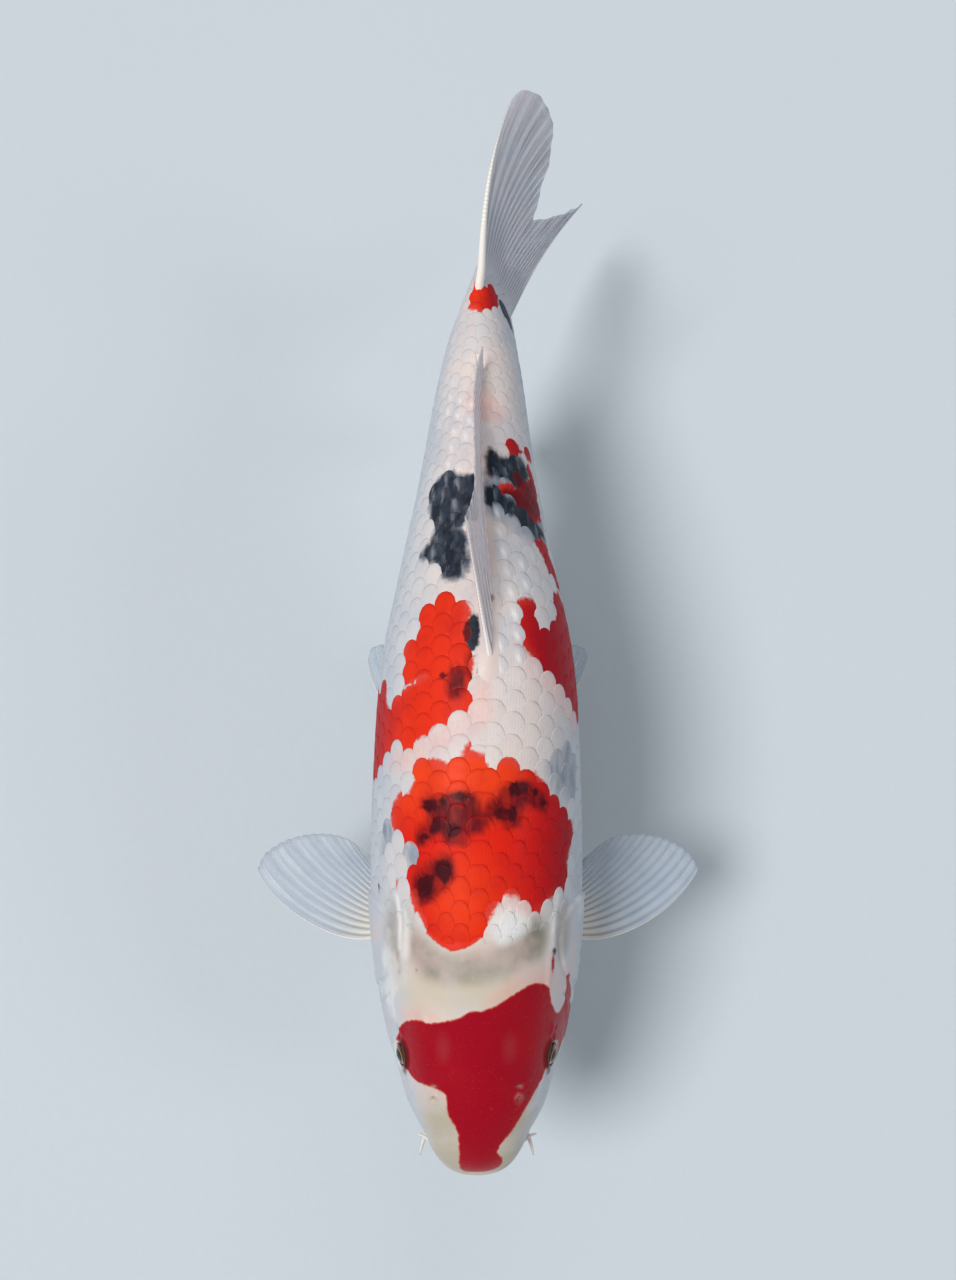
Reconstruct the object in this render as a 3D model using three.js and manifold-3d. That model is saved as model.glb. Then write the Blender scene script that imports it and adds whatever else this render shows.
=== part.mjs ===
// A koi carp at life size, held over a flat base by two short rods, as a museum shows a fish.
// Millimetres, +Z up. The fish swims towards -Y with its back up, so +X is its left side.
// The origin is the middle of the base's underside.
//
// Places on the fish are given as (s, x, z): s is the distance behind the snout's tip, x is to the
// fish's left of its midline and z is above its axis. The fish is a group of its own, with its
// origin at the snout. place() adds the bend and the roll of the swimming body.

import * as THREE from "three";
import { mergeVertices } from "three/addons/utils/BufferGeometryUtils.js";
import Module from "manifold-3d";

const wasm = await Module();
wasm.setup();

// ---------------------------------------------------------------- driving dimensions

const AXIS_HEIGHT = 126; // the fish's axis above the floor
const BALANCE = 224; // s of the fish's centre of mass, over the middle of the base
const GAP = 0.3; // kept between touching pieces
const SIDES = { left: 1, right: -1 };
const FLESH_END = 500; // s where the flesh ends in the tail fin

const COARSE = { ringSides: 20, ringsPerStation: 1 };
const FINE = { ringSides: 26, ringsPerStation: 2 };

// Cross-sections from snout to tail: s, half width, back, belly, squareness of the upper half, and
// how high the widest level lies between belly (0) and back (1).
const STATIONS = [
  [0, 0, -2, -2, 2.1, 0.45],
  [1.2, 9.6, 5.5, -8.5, 2.1, 0.45],
  [4.5, 16.6, 11.5, -13, 2.1, 0.44],
  [10.5, 22.6, 17.5, -17.5, 2.1, 0.43],
  [20, 27.6, 24.5, -22.5, 2.1, 0.4],
  [35, 36, 33, -30, 2.1, 0.37],
  [60, 44.2, 44, -39, 2.05, 0.36],
  [85, 50.8, 54, -46, 2.0, 0.37],
  [110, 54.8, 62, -52, 2.0, 0.39],
  [136, 57.3, 68, -57, 2.0, 0.41],
  [173, 57.6, 74, -61, 2.05, 0.44],
  [212, 56.6, 77.5, -62.5, 2.1, 0.45],
  [245, 55.2, 77.5, -61.5, 2.1, 0.46],
  [274, 52.2, 75.5, -59, 2.1, 0.46],
  [302, 46.8, 72, -55, 2.1, 0.46],
  [332, 41.2, 66.5, -49.5, 2.0, 0.46],
  [362, 35.5, 60, -43, 2.0, 0.46],
  [393, 30.7, 52.5, -36.5, 2.0, 0.46],
  [424, 26.4, 45, -31.5, 2.0, 0.46],
  [455, 20.6, 38, -28.5, 2.0, 0.46],
  [476, 14, 34, -28, 2.0, 0.46],
  [490, 8, 33, -28.5, 2.2, 0.48],
  [498, 4, 31.5, -28, 2.6, 0.5],
  [FLESH_END, 0, 2, 2, 2.6, 0.5],
];
const LOWER_SQUARENESS = 2.3;

// The swimming bend: how far the midline lies to the left, and the roll of the back to the left.
const BEND = [
  [0, -0.7],
  [300, -0.9],
  [393, 0],
  [424, 1.2],
  [455, 3.2],
  [476, 6],
  [490, 9],
  [FLESH_END, 12],
];
const ROLL_DEGREES = [
  [0, 0],
  [130, 0.5],
  [250, 4.5],
  [330, 3],
  [400, 2.5],
  [440, -3],
  [476, -13],
  [490, -16],
  [FLESH_END, -16],
];

// ---------------------------------------------------------------- smooth tables

/** Slope of one column at a row, from its neighbours. */
function slopeAt(rows, at, column, i) {
  const before = Math.max(i - 1, 0);
  const after = Math.min(i + 1, rows.length - 1);
  return (rows[after][column] - rows[before][column]) / (at[after] - at[before]);
}

/** A smooth curve through rows of numbers, as a function of the place t along "at". */
function smoothRows(rows, at) {
  return (t) => {
    let i = at.length - 2;
    while (i > 0 && at[i] > t) i--;
    const span = at[i + 1] - at[i];
    const u = Math.min(Math.max((t - at[i]) / span, 0), 1);
    const h01 = u * u * (3 - 2 * u);
    const h10 = u * (1 - u) * (1 - u);
    const h11 = u * u * (u - 1);
    return rows[i].map(
      (value, column) =>
        value * (1 - h01) +
        rows[i + 1][column] * h01 +
        span * h10 * slopeAt(rows, at, column, i) +
        span * h11 * slopeAt(rows, at, column, i + 1),
    );
  };
}

/** A smooth function of s from [s, value] pairs. */
function track(pairs) {
  const curve = smoothRows(pairs, pairs.map((pair) => pair[0]));
  return (s) => curve(s)[1];
}

const bend = track(BEND);
const roll = track(ROLL_DEGREES);

/** A point beside the straight axis of the fish. */
function spot(s, x, z) {
  return new THREE.Vector3(x, s, z);
}

/** A point of the fish, with the bend and the roll of its body. */
function place(s, x, z) {
  const angle = THREE.MathUtils.degToRad(roll(Math.min(Math.max(s, 0), FLESH_END)));
  const shift = bend(Math.min(Math.max(s, 0), FLESH_END));
  return spot(
    s,
    shift + x * Math.cos(angle) + z * Math.sin(angle),
    z * Math.cos(angle) - x * Math.sin(angle),
  );
}

// ---------------------------------------------------------------- solids

function solidOf(geometry) {
  const bare = new THREE.BufferGeometry();
  bare.setAttribute("position", geometry.getAttribute("position"));
  bare.setIndex(geometry.index);
  const merged = mergeVertices(bare, 1e-4);
  return new wasm.Manifold(
    new wasm.Mesh({
      numProp: 3,
      vertProperties: merged.attributes.position.array,
      triVerts: new Uint32Array(merged.index.array),
    }),
  );
}

function geometryOf(solid) {
  const mesh = solid.getMesh();
  const corners = new Float32Array(mesh.numVert * 3);
  for (let i = 0; i < mesh.numVert; i++) {
    const from = i * mesh.numProp;
    corners.set(mesh.vertProperties.subarray(from, from + 3), i * 3);
  }
  const geometry = new THREE.BufferGeometry();
  geometry.setAttribute("position", new THREE.BufferAttribute(corners, 3));
  geometry.setIndex(new THREE.BufferAttribute(mesh.triVerts, 1));
  geometry.computeVertexNormals();
  return geometry;
}

/** The largest body of a solid, without the slivers that a cut may leave. */
function mainBody(solid) {
  return solid.decompose().reduce((a, b) => (b.volume() > a.volume() ? b : a));
}

/** A closed surface from rings of equally many points, with a pole before and after them. */
function closedRings(firstPole, rings, lastPole) {
  const sides = rings[0].length;
  const points = [firstPole, ...rings.flat(), lastPole];
  const last = points.length - 1;
  const faces = [];
  for (let j = 0; j < sides; j++) {
    const k = (j + 1) % sides;
    faces.push(0, 1 + j, 1 + k);
    for (let i = 0; i + 1 < rings.length; i++) {
      const near = 1 + i * sides;
      const far = near + sides;
      faces.push(near + j, far + j, far + k, near + j, far + k, near + k);
    }
    const end = 1 + (rings.length - 1) * sides;
    faces.push(last, end + k, end + j);
  }
  const geometry = new THREE.BufferGeometry().setFromPoints(points);
  geometry.setIndex(faces);
  const solid = solidOf(geometry);
  if (solid.volume() > 0) return solid;
  for (let i = 0; i < faces.length; i += 3) [faces[i], faces[i + 1]] = [faces[i + 1], faces[i]];
  geometry.setIndex(faces);
  return solidOf(geometry);
}

// ---------------------------------------------------------------- the body's own form

const stationPlaces = STATIONS.reduce((places, row, i) => {
  if (i === 0) return [0];
  const before = STATIONS[i - 1];
  return [...places, places[i - 1] + Math.hypot(row[0] - before[0], row[1] - before[1])];
}, []);
const section = smoothRows(STATIONS, stationPlaces);

/** A point on the skin: section row, angle round from the back to the left, and how far outside. */
function skinPoint(row, angle, grow) {
  const [s, halfWidth, back, belly, squareness, widestShare] = row;
  const widest = belly + (back - belly) * widestShare;
  const up = Math.cos(angle) > 0;
  const power = 2 / (up ? squareness : LOWER_SQUARENESS);
  const across = Math.sign(Math.sin(angle)) * Math.abs(Math.sin(angle)) ** power;
  const rise = Math.abs(Math.cos(angle)) ** power;
  const reach = up ? back + grow - widest : belly - grow - widest;
  const nose = grow * Math.max(0, 1 - s / 20);
  const tail = s > FLESH_END - 10 ? grow * (1 - (FLESH_END - s) / 10) : 0;
  return place(s - nose + tail, (halfWidth + grow) * across, widest + reach * rise);
}

/** The whole body, or the same body a little larger or smaller. */
function bodySolid(grow = 0, { ringSides, ringsPerStation } = FINE) {
  const rings = [];
  for (let i = 0; i + 1 < STATIONS.length; i++) {
    for (let k = 0; k < ringsPerStation; k++) {
      if (i + k === 0) continue;
      const share = k / ringsPerStation;
      const row = section(stationPlaces[i] * (1 - share) + stationPlaces[i + 1] * share);
      const ring = [];
      for (let j = 0; j < ringSides; j++) {
        ring.push(skinPoint(row, (j / ringSides) * 2 * Math.PI, grow));
      }
      rings.push(ring);
    }
  }
  const snout = STATIONS[0];
  const end = STATIONS.at(-1);
  return closedRings(place(-grow, 0, snout[2]), rings, place(end[0] + grow, 0, end[2]));
}

const body = bodySolid();
const bodyWithGap = bodySolid(GAP);

// ---------------------------------------------------------------- cutters seen from the side

/** A closed outline moved outwards by a distance. */
function grown(outline, distance) {
  const turn = outline.reduce((sum, [x, y], i) => {
    const [nextX, nextY] = outline[(i + 1) % outline.length];
    return sum + x * nextY - nextX * y;
  }, 0);
  return outline.map(([x, y], i) => {
    const [fromX, fromY] = outline[(i + outline.length - 1) % outline.length];
    const [toX, toY] = outline[(i + 1) % outline.length];
    const along = new THREE.Vector2(toX - fromX, toY - fromY).normalize();
    const side = Math.sign(turn) * distance;
    return [x + along.y * side, y - along.x * side];
  });
}

/** An outline of (s, z) points carried straight across the fish from x = from to x = to. */
function acrossFish(outline, from = -90, to = 90) {
  const shape = new THREE.Shape(outline.map(([s, z]) => new THREE.Vector2(s, z)));
  const geometry = new THREE.ExtrudeGeometry(shape, { depth: to - from, bevelEnabled: false });
  geometry.applyMatrix4(
    new THREE.Matrix4()
      .makeBasis(new THREE.Vector3(0, 1, 0), new THREE.Vector3(0, 0, 1), new THREE.Vector3(1, 0, 0))
      .setPosition(from, 0, 0),
  );
  return solidOf(geometry);
}

/** Points along a smooth line through a few given ones. */
function smoothLine(points, count) {
  const line = new THREE.SplineCurve(points.map(([x, y]) => new THREE.Vector2(x, y)));
  return line.getPoints(count).map((point) => [point.x, point.y]);
}

// Rear edge of head and gill covers, from the nape to the throat.
const HEAD_EDGE = [
  [112, 90],
  [115, 64],
  [123, 50],
  [134, 34],
  [140, 14],
  [139, -4],
  [131, -20],
  [118, -32],
  [102, -44],
  [87, -56],
  [76, -80],
];
// Front and top edge of a gill cover, from its upper rear corner to its lower end.
const COVER_FRONT = [
  [132, 38],
  [116, 39],
  [102, 33],
  [96, 18],
  [92, -4],
  [86, -22],
  [79, -36],
  [80, -47],
];
const COVER_THICKNESS = 4;
const COVER_STANDS_PROUD = 1;
const COVER_INNER_EDGE = 12; // the two covers stop this far from the midline, under the throat

const headEdge = smoothLine(HEAD_EDGE, 24);
const headOutline = [...headEdge, [-20, -80], [-20, 90]];
const coverOutline = [
  ...smoothLine(COVER_FRONT, 12),
  ...headEdge.filter(([, z]) => z > -46 && z < 35).reverse(),
];

// The mouth is closed; its line runs from the snout's tip down to the corners.
const MOUTH_LINE = [
  [-12, -3],
  [3, -4],
  [10, -6],
  [17.5, -9.6],
];
const jawOutline = [...MOUTH_LINE, [27, -19], [37, -33], [40, -60], [-12, -60]];
const lipOutline = [...MOUTH_LINE, [16.5, -3], [12, 4.5], [7, 9.5], [3, 14], [-12, 20]];

// ---------------------------------------------------------------- lips, eyes, barbels

/** A round bar along a curve, its radius a function of the share of its length. */
function taperedBar(curve, radiusAt, steps, sides) {
  const frames = curve.computeFrenetFrames(steps, false);
  const rings = [];
  for (let i = 0; i <= steps; i++) {
    const centre = curve.getPointAt(i / steps);
    const ring = [];
    for (let j = 0; j < sides; j++) {
      const angle = (j / sides) * 2 * Math.PI;
      const radius = radiusAt(i / steps);
      ring.push(
        centre
          .clone()
          .addScaledVector(frames.normals[i], Math.cos(angle) * radius)
          .addScaledVector(frames.binormals[i], Math.sin(angle) * radius),
      );
    }
    rings.push(ring);
  }
  return closedRings(curve.getPointAt(0), rings, curve.getPointAt(1));
}

// Half of the lip's course: s, x, z from the corner of the mouth to the middle.
const LIP_COURSE = [
  [19, 22.5, -10],
  [13, 20.6, -8],
  [7, 16.6, -5.6],
  [2.6, 9.6, -4],
  [1, 0, -3.4],
];

function lipBar({ rise, setBack, thickness }, grow = 0) {
  const left = LIP_COURSE.map(([s, x, z]) => place(s + setBack, x, z + rise));
  const right = LIP_COURSE.slice(0, -1).map(([s, x, z]) => place(s + setBack, -x, z + rise));
  const curve = new THREE.CatmullRomCurve3([...left, ...right.reverse()]);
  const bulge = (share) => grow + thickness * (0.45 + 0.55 * Math.sin(Math.PI * share) ** 0.6);
  return taperedBar(curve, bulge, 16, 7);
}

const UPPER_LIP = { rise: 2.4, setBack: 1, thickness: 2.9 };
const LOWER_LIP = { rise: -3, setBack: 2.2, thickness: 2.7 };

const EYE = { s: 61.5, x: 32.2, z: 13.2, radius: 9, sides: 12 };
const NOSTRIL = { s: 42, x: 22.6, z: 29.5, radius: 2.6, sides: 8 };

/** A ball round the origin, its poles to the left and right. */
function ball({ radius, sides }, grow = 0) {
  const geometry = new THREE.SphereGeometry(radius + grow, sides, Math.round(sides * 0.75));
  geometry.rotateZ(-Math.PI / 2);
  return solidOf(geometry);
}

/** The place of an eye or a nostril: side is 1 on the fish's left and -1 on its right. */
function onHead({ s, x, z }, side) {
  return place(s, side * x, z);
}

// Barbels: points as (s, x, z) from under the skin to the tip, and the radius at the root.
const BARBELS = {
  corner: { course: [[20, 22, -9.5], [17, 26, -12], [11, 28.5, -15.5], [4.5, 30, -18]], root: 1.5 },
  lip: { course: [[12.5, 20, -1.5], [13, 25, -1.5], [13, 28.5, -2.8], [11.5, 31, -5]], root: 1.1 },
};
const BARBEL_TIP = 0.5;

function barbel(kind, side) {
  const { course, root } = BARBELS[kind];
  const curve = new THREE.CatmullRomCurve3(course.map(([s, x, z]) => place(s, side * x, z)));
  const bar = taperedBar(curve, (share) => root + (BARBEL_TIP - root) * share, 6, 6);
  const lips = lipBar(UPPER_LIP, GAP).add(lipBar(LOWER_LIP, GAP));
  return mainBody(bar.subtract(bodyWithGap).subtract(lips));
}

// ---------------------------------------------------------------- fins

/**
 * A fin: a sheet ruled by rays that leave the root line and end on the margin.
 * Each ray is a cubic whose two handles are pushed aside by the bows. Root and margin may be drawn
 * flat; bent then carries each point of a ray to its place in the part.
 */
function finSheet({ root, margin, bows, rays, steps, thickness, bent = (point) => point }) {
  const columns = rays * 2;
  const grid = [];
  for (let i = 0; i <= columns; i++) {
    const t = i / columns;
    const from = root.getPointAt(t);
    const to = margin.getPointAt(t);
    const [firstBow, secondBow] = bows(t);
    const ray = new THREE.CubicBezierCurve3(
      from,
      from.clone().lerp(to, 1 / 3).add(firstBow),
      from.clone().lerp(to, 2 / 3).add(secondBow),
      to,
    );
    grid.push(Array.from({ length: steps + 1 }, (_, k) => bent(ray.getPoint(k / steps))));
  }
  const [thick, thin] = thickness;
  const halfThickness = (i, k) => {
    const onRay = i % 2 === 0 ? 1 : 0.62;
    return 0.5 * Math.max(0.6, (thick + (thin - thick) * Math.sqrt(k / steps)) * onRay);
  };
  const normalAt = (i, k) => {
    const alongRay = grid[i][Math.min(k + 1, steps)].clone().sub(grid[i][Math.max(k - 1, 0)]);
    const acrossRays = grid[Math.min(i + 1, columns)][k].clone().sub(grid[Math.max(i - 1, 0)][k]);
    return alongRay.cross(acrossRays).normalize();
  };
  const side = (sign) =>
    grid.map((ray, i) =>
      ray.map((point, k) => point.clone().addScaledVector(normalAt(i, k), sign * halfThickness(i, k))),
    );
  return closedSheet(side(1), side(-1));
}

/** A closed solid between two grids of points that face each other. */
function closedSheet(front, rear) {
  const columns = front.length;
  const steps = front[0].length;
  const points = [...front.flat(), ...rear.flat()];
  const at = (face, i, k) => face * columns * steps + i * steps + k;
  const faces = [];
  const quad = (a, b, c, d) => faces.push(a, b, c, a, c, d);
  for (let i = 0; i + 1 < columns; i++) {
    for (let k = 0; k + 1 < steps; k++) {
      quad(at(0, i, k), at(0, i, k + 1), at(0, i + 1, k + 1), at(0, i + 1, k));
      quad(at(1, i, k), at(1, i + 1, k), at(1, i + 1, k + 1), at(1, i, k + 1));
    }
    quad(at(0, i, 0), at(0, i + 1, 0), at(1, i + 1, 0), at(1, i, 0));
    const end = steps - 1;
    quad(at(0, i, end), at(1, i, end), at(1, i + 1, end), at(0, i + 1, end));
  }
  for (let k = 0; k + 1 < steps; k++) {
    const last = columns - 1;
    quad(at(0, 0, k), at(1, 0, k), at(1, 0, k + 1), at(0, 0, k + 1));
    quad(at(0, last, k), at(0, last, k + 1), at(1, last, k + 1), at(1, last, k));
  }
  const geometry = new THREE.BufferGeometry().setFromPoints(points);
  geometry.setIndex(faces);
  const solid = solidOf(geometry);
  if (solid.volume() > 0) return solid;
  for (let i = 0; i < faces.length; i += 3) [faces[i], faces[i + 1]] = [faces[i + 1], faces[i]];
  geometry.setIndex(faces);
  return solidOf(geometry);
}

function curveThrough(points) {
  return new THREE.CatmullRomCurve3(points, false, "centripetal");
}

/** A fin's sheet with the flesh that it grows from taken away. */
function finOnBody(sheet) {
  return mainBody(sheet.subtract(bodyWithGap));
}

/** Bows that fade from full on the leading ray to nothing on the last one. */
function fadingBows(first, second, fade = 1.5) {
  return (t) => {
    const share = (1 - t) ** fade;
    return [first.clone().multiplyScalar(share), second.clone().multiplyScalar(share)];
  };
}

// The roots lie a little under the skin and follow the body; the margins are where the swimming
// fish holds them. All points are (s, x, z).
const DORSAL = {
  root: [[243, 0, 70], [280, 0, 69], [330, 0, 60], [380, 0, 49], [408, 0, 42]],
  margin: [
    [318, -6, 104],
    [327, -3.6, 97.5],
    [337, -1.8, 91],
    [356, -1.7, 84.5],
    [380, -2.2, 74.5],
    [404, -1.9, 64],
    [421, -0.2, 57],
    [433, 2.5, 51],
  ],
};

function dorsalFin() {
  const root = curveThrough(DORSAL.root.map((point) => place(...point)));
  const margin = curveThrough(DORSAL.margin.map((point) => spot(...point)));
  const bows = fadingBows(new THREE.Vector3(0, -3, 3), new THREE.Vector3(0, -3, 3));
  return finOnBody(finSheet({ root, margin, bows, rays: 10, steps: 4, thickness: [4.2, 1] }));
}

const ANAL = {
  root: [[390, 0, -30], [406, 0, -27], [424, 0, -24]],
  margin: [[438, 1, -80], [447, 1.5, -70], [453, 2.5, -58], [456, 4, -45]],
};

function analFin() {
  const root = curveThrough(ANAL.root.map((point) => place(...point)));
  const margin = curveThrough(ANAL.margin.map((point) => spot(...point)));
  const bows = fadingBows(new THREE.Vector3(0, -3, -3), new THREE.Vector3(0, -2, -4));
  return finOnBody(finSheet({ root, margin, bows, rays: 6, steps: 4, thickness: [4, 1] }));
}

// The tail fin is a leaning sheet that is swept to the left and cupped by the water. It is drawn
// flat, as (back, up): how far behind its root, and how far along its height.
const TAIL = { s: 489, x: 9.5, z: 2, sweep: 0.244, curl: 0.0044, lean: 0.286, twist: 0.0009, cup: 0.000055 };

function bentTail({ x: back, y: up }) {
  const { sweep, curl, lean, twist, cup } = TAIL;
  const swept = sweep * back + curl * back * Math.abs(back);
  const leaning = lean * up - twist * up * back + cup * up * up * Math.max(back, 0);
  return spot(TAIL.s + back, TAIL.x + swept - leaning, TAIL.z + up * Math.sqrt(1 - lean ** 2));
}

const TAIL_UPPER = {
  root: [[-12, 27.5], [-6, 22], [-1, 12], [0, 0.4]],
  margin: [[88, 73.5], [90, 67], [83, 50], [73, 32], [65, 14], [61, 0.4]],
  bows: [[-4, 8.5], [-5, 8]],
};
const TAIL_LOWER = {
  root: [[-7, -26.5], [-3, -20], [0, -11], [0, -0.4]],
  margin: [[104, -66], [98, -57], [85, -40], [71, -19], [61, -0.4]],
  bows: [[-3, -7.5], [-4, -6]],
};

function tailLobe({ root, margin, bows }) {
  const flat = ([back, up]) => new THREE.Vector3(back, up, 0);
  const sheet = finSheet({
    root: curveThrough(root.map(flat)),
    margin: curveThrough(margin.map(flat)),
    bows: fadingBows(flat(bows[0]), flat(bows[1]), 1.2),
    rays: 7,
    steps: 5,
    thickness: [5, 1],
    bent: bentTail,
  });
  return finOnBody(sheet);
}

// Paired fins, on the left side.
const PECTORAL = {
  root: [[124, 44.5, -35], [130, 43, -39], [138, 41, -44]],
  margin: [
    [153.8, 127.5, -43],
    [162, 123.5, -43],
    [170, 111, -42.5],
    [173.5, 94.5, -42],
    [171, 77, -42],
    [159, 61, -43],
    [149, 50, -45],
  ],
  bows: [[-36, -9, 1], [-13, 18, 2]],
  rays: 9,
  thickness: [4.4, 0.9],
};
const PELVIC = {
  root: [[236, 29, -56], [241, 26, -57], [247, 22, -57.5]],
  margin: [
    [285, 66, -63],
    [289, 60, -63.5],
    [286, 48, -64],
    [277, 36, -64],
    [266, 26, -63.5],
  ],
  bows: [[-7, 4, 0], [-6, 5, 0]],
  rays: 6,
  thickness: [4, 0.9],
};

function pairedFin({ root, margin, bows, rays, thickness }, side) {
  const asVector = ([s, x, z]) => new THREE.Vector3(side * x, s, z);
  const sheet = finSheet({
    root: curveThrough(root.map(([s, x, z]) => place(s, side * x, z))),
    margin: curveThrough(margin.map(([s, x, z]) => spot(s, side * x, z))),
    bows: fadingBows(asVector(bows[0]), asVector(bows[1])),
    rays,
    steps: 5,
    thickness,
  });
  return finOnBody(sheet);
}

// ---------------------------------------------------------------- the stand

const BASE = { length: 226, width: 90, thickness: 14, bevel: 2 };
const ROD = { radius: 4, foot: 9, footHeight: 3 };
const ROD_FOOT_HEIGHT = BASE.thickness + GAP;
const ROD_PLACES = { front: -54, rear: 50 }; // along the base, from its middle

function standBase() {
  const { length, width, thickness, bevel } = BASE;
  const shape = new THREE.Shape();
  shape.absellipse(0, 0, width / 2 - bevel, length / 2 - bevel, 0, 2 * Math.PI);
  const geometry = new THREE.ExtrudeGeometry(shape, {
    depth: thickness - 2 * bevel,
    bevelThickness: bevel,
    bevelSize: bevel,
    bevelSegments: 2,
    curveSegments: 20,
  });
  geometry.translate(0, 0, bevel);
  return solidOf(geometry);
}

/** A rod from the base up to the belly, its foot on the origin. */
function standRod(along) {
  const { radius, foot, footHeight } = ROD;
  const profile = [
    [0, 0],
    [foot, 0],
    [foot, footHeight * 0.6],
    [foot - 1.2, footHeight],
    [radius, footHeight],
    [radius, AXIS_HEIGHT / 2],
    [0, AXIS_HEIGHT / 2],
  ];
  const rod = new THREE.LatheGeometry(profile.map(([r, z]) => new THREE.Vector2(r, z)), 16);
  rod.rotateX(Math.PI / 2);
  const belly = bodyWithGap.translate([0, -BALANCE - along, AXIS_HEIGHT - ROD_FOOT_HEIGHT]);
  return mainBody(solidOf(rod).subtract(belly));
}

// ---------------------------------------------------------------- the parts of the body

function between(from, to) {
  const box = new THREE.BoxGeometry(240, to - from, 240);
  box.translate(0, (from + to) / 2, 0);
  return solidOf(box);
}

const TRUNK_SPLIT = 283;
const TAIL_SPLIT = 410;

const innerBody = bodySolid(-COVER_THICKNESS, COARSE);
const innerBodyWithGap = bodySolid(-COVER_THICKNESS - GAP, COARSE);
const proudBody = bodySolid(COVER_STANDS_PROUD);
const headZone = acrossFish(headOutline);

function gillCover(side) {
  const [from, to] = side > 0 ? [COVER_INNER_EDGE, 90] : [-90, -COVER_INNER_EDGE];
  const plate = acrossFish(coverOutline, from, to).intersect(headZone);
  return mainBody(plate.intersect(proudBody).subtract(innerBody));
}

function gillCoverPocket(side) {
  const edge = COVER_INNER_EDGE - GAP;
  const [from, to] = side > 0 ? [edge, 90] : [-90, -edge];
  return acrossFish(grown(coverOutline, GAP), from, to).subtract(innerBodyWithGap);
}

/** The head without the lips, the jaw and the gill covers, and with the eye sockets and nostrils. */
function headSolid() {
  const cutters = [acrossFish(grown(jawOutline, GAP)), acrossFish(grown(lipOutline, GAP))];
  for (const side of Object.values(SIDES)) {
    cutters.push(gillCoverPocket(side));
    cutters.push(ball(EYE, GAP).translate(onHead(EYE, side).toArray()));
    cutters.push(ball(NOSTRIL).translate(onHead(NOSTRIL, side).toArray()));
  }
  const rest = cutters.reduce((solid, cutter) => solid.subtract(cutter), body.intersect(headZone));
  return mainBody(rest);
}

function upperLip() {
  const lip = body.add(lipBar(UPPER_LIP)).intersect(acrossFish(lipOutline));
  return mainBody(lip.subtract(head));
}

function lowerJaw() {
  const jaw = body.add(lipBar(LOWER_LIP)).intersect(acrossFish(jawOutline));
  return mainBody(jaw.subtract(acrossFish(grown(lipOutline, GAP))));
}

const head = headSolid();
const trunk = body.subtract(acrossFish(grown(headOutline, GAP)));

const FLESH = { color: 0xe9e4dc, roughness: 0.35, metalness: 0 };
const FLESH_RED = { color: 0xc8201c, roughness: 0.35, metalness: 0 };
const FIN = { color: 0xd9dde0, roughness: 0.4, metalness: 0 };
const EYE_DARK = { color: 0x14110f, roughness: 0.1, metalness: 0 };
const WOOD = { color: 0x4a3122, roughness: 0.5, metalness: 0 };
const STEEL = { color: 0xb9b9b6, roughness: 0.3, metalness: 1 };

function piece(name, solid, finish, position = new THREE.Vector3()) {
  const mesh = new THREE.Mesh(geometryOf(solid), new THREE.MeshStandardMaterial(finish));
  mesh.name = name;
  mesh.position.copy(position);
  return mesh;
}

function headGroup() {
  const group = new THREE.Group();
  group.add(
    piece("head", head, FLESH_RED),
    piece("upper_lip", upperLip(), FLESH),
    piece("lower_jaw", lowerJaw(), FLESH),
  );
  for (const [name, side] of Object.entries(SIDES)) {
    group.add(piece(`gill_cover_${name}`, gillCover(side), FLESH));
    group.add(piece(`eye_${name}`, ball(EYE), EYE_DARK, onHead(EYE, side)));
    group.add(piece(`barbel_corner_${name}`, barbel("corner", side), FLESH));
    group.add(piece(`barbel_lip_${name}`, barbel("lip", side), FLESH));
  }
  return group;
}

function trunkGroup() {
  const group = new THREE.Group();
  const cuts = [0, TRUNK_SPLIT, TAIL_SPLIT, FLESH_END + 1];
  for (const [i, name] of ["trunk_front", "trunk_rear", "tail_stalk"].entries()) {
    const length = between(cuts[i] + GAP / 2, cuts[i + 1] - GAP / 2);
    group.add(piece(name, mainBody(trunk.intersect(length)), FLESH));
  }
  return group;
}

function finGroup() {
  const group = new THREE.Group();
  group.add(
    piece("dorsal_fin", dorsalFin(), FIN),
    piece("anal_fin", analFin(), FIN),
    piece("tail_fin_upper", tailLobe(TAIL_UPPER), FIN),
    piece("tail_fin_lower", tailLobe(TAIL_LOWER), FIN),
  );
  for (const [name, side] of Object.entries(SIDES)) {
    group.add(piece(`pectoral_fin_${name}`, pairedFin(PECTORAL, side), FIN));
    group.add(piece(`pelvic_fin_${name}`, pairedFin(PELVIC, side), FIN));
  }
  return group;
}

function standGroup() {
  const group = new THREE.Group();
  group.add(piece("stand_base", standBase(), WOOD));
  for (const [name, along] of Object.entries(ROD_PLACES)) {
    const foot = new THREE.Vector3(0, along, ROD_FOOT_HEIGHT);
    group.add(piece(`stand_rod_${name}`, standRod(along), STEEL, foot));
  }
  return group;
}

const fish = new THREE.Group();
fish.position.set(0, -BALANCE, AXIS_HEIGHT);
fish.add(headGroup(), trunkGroup(), finGroup());

const koi = new THREE.Group();
koi.add(fish, standGroup());

export default koi;
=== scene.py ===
"""A life-size koi carp on a low wooden stand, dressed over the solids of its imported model.

The fish is drawn in millimetres in its own frame: s runs back from the snout, x to the fish's
left and z up from its axis. Most places on its body are given as (s, girth), where girth is how
far round the skin a point lies from the middle of the back, positive on the left.
"""

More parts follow.
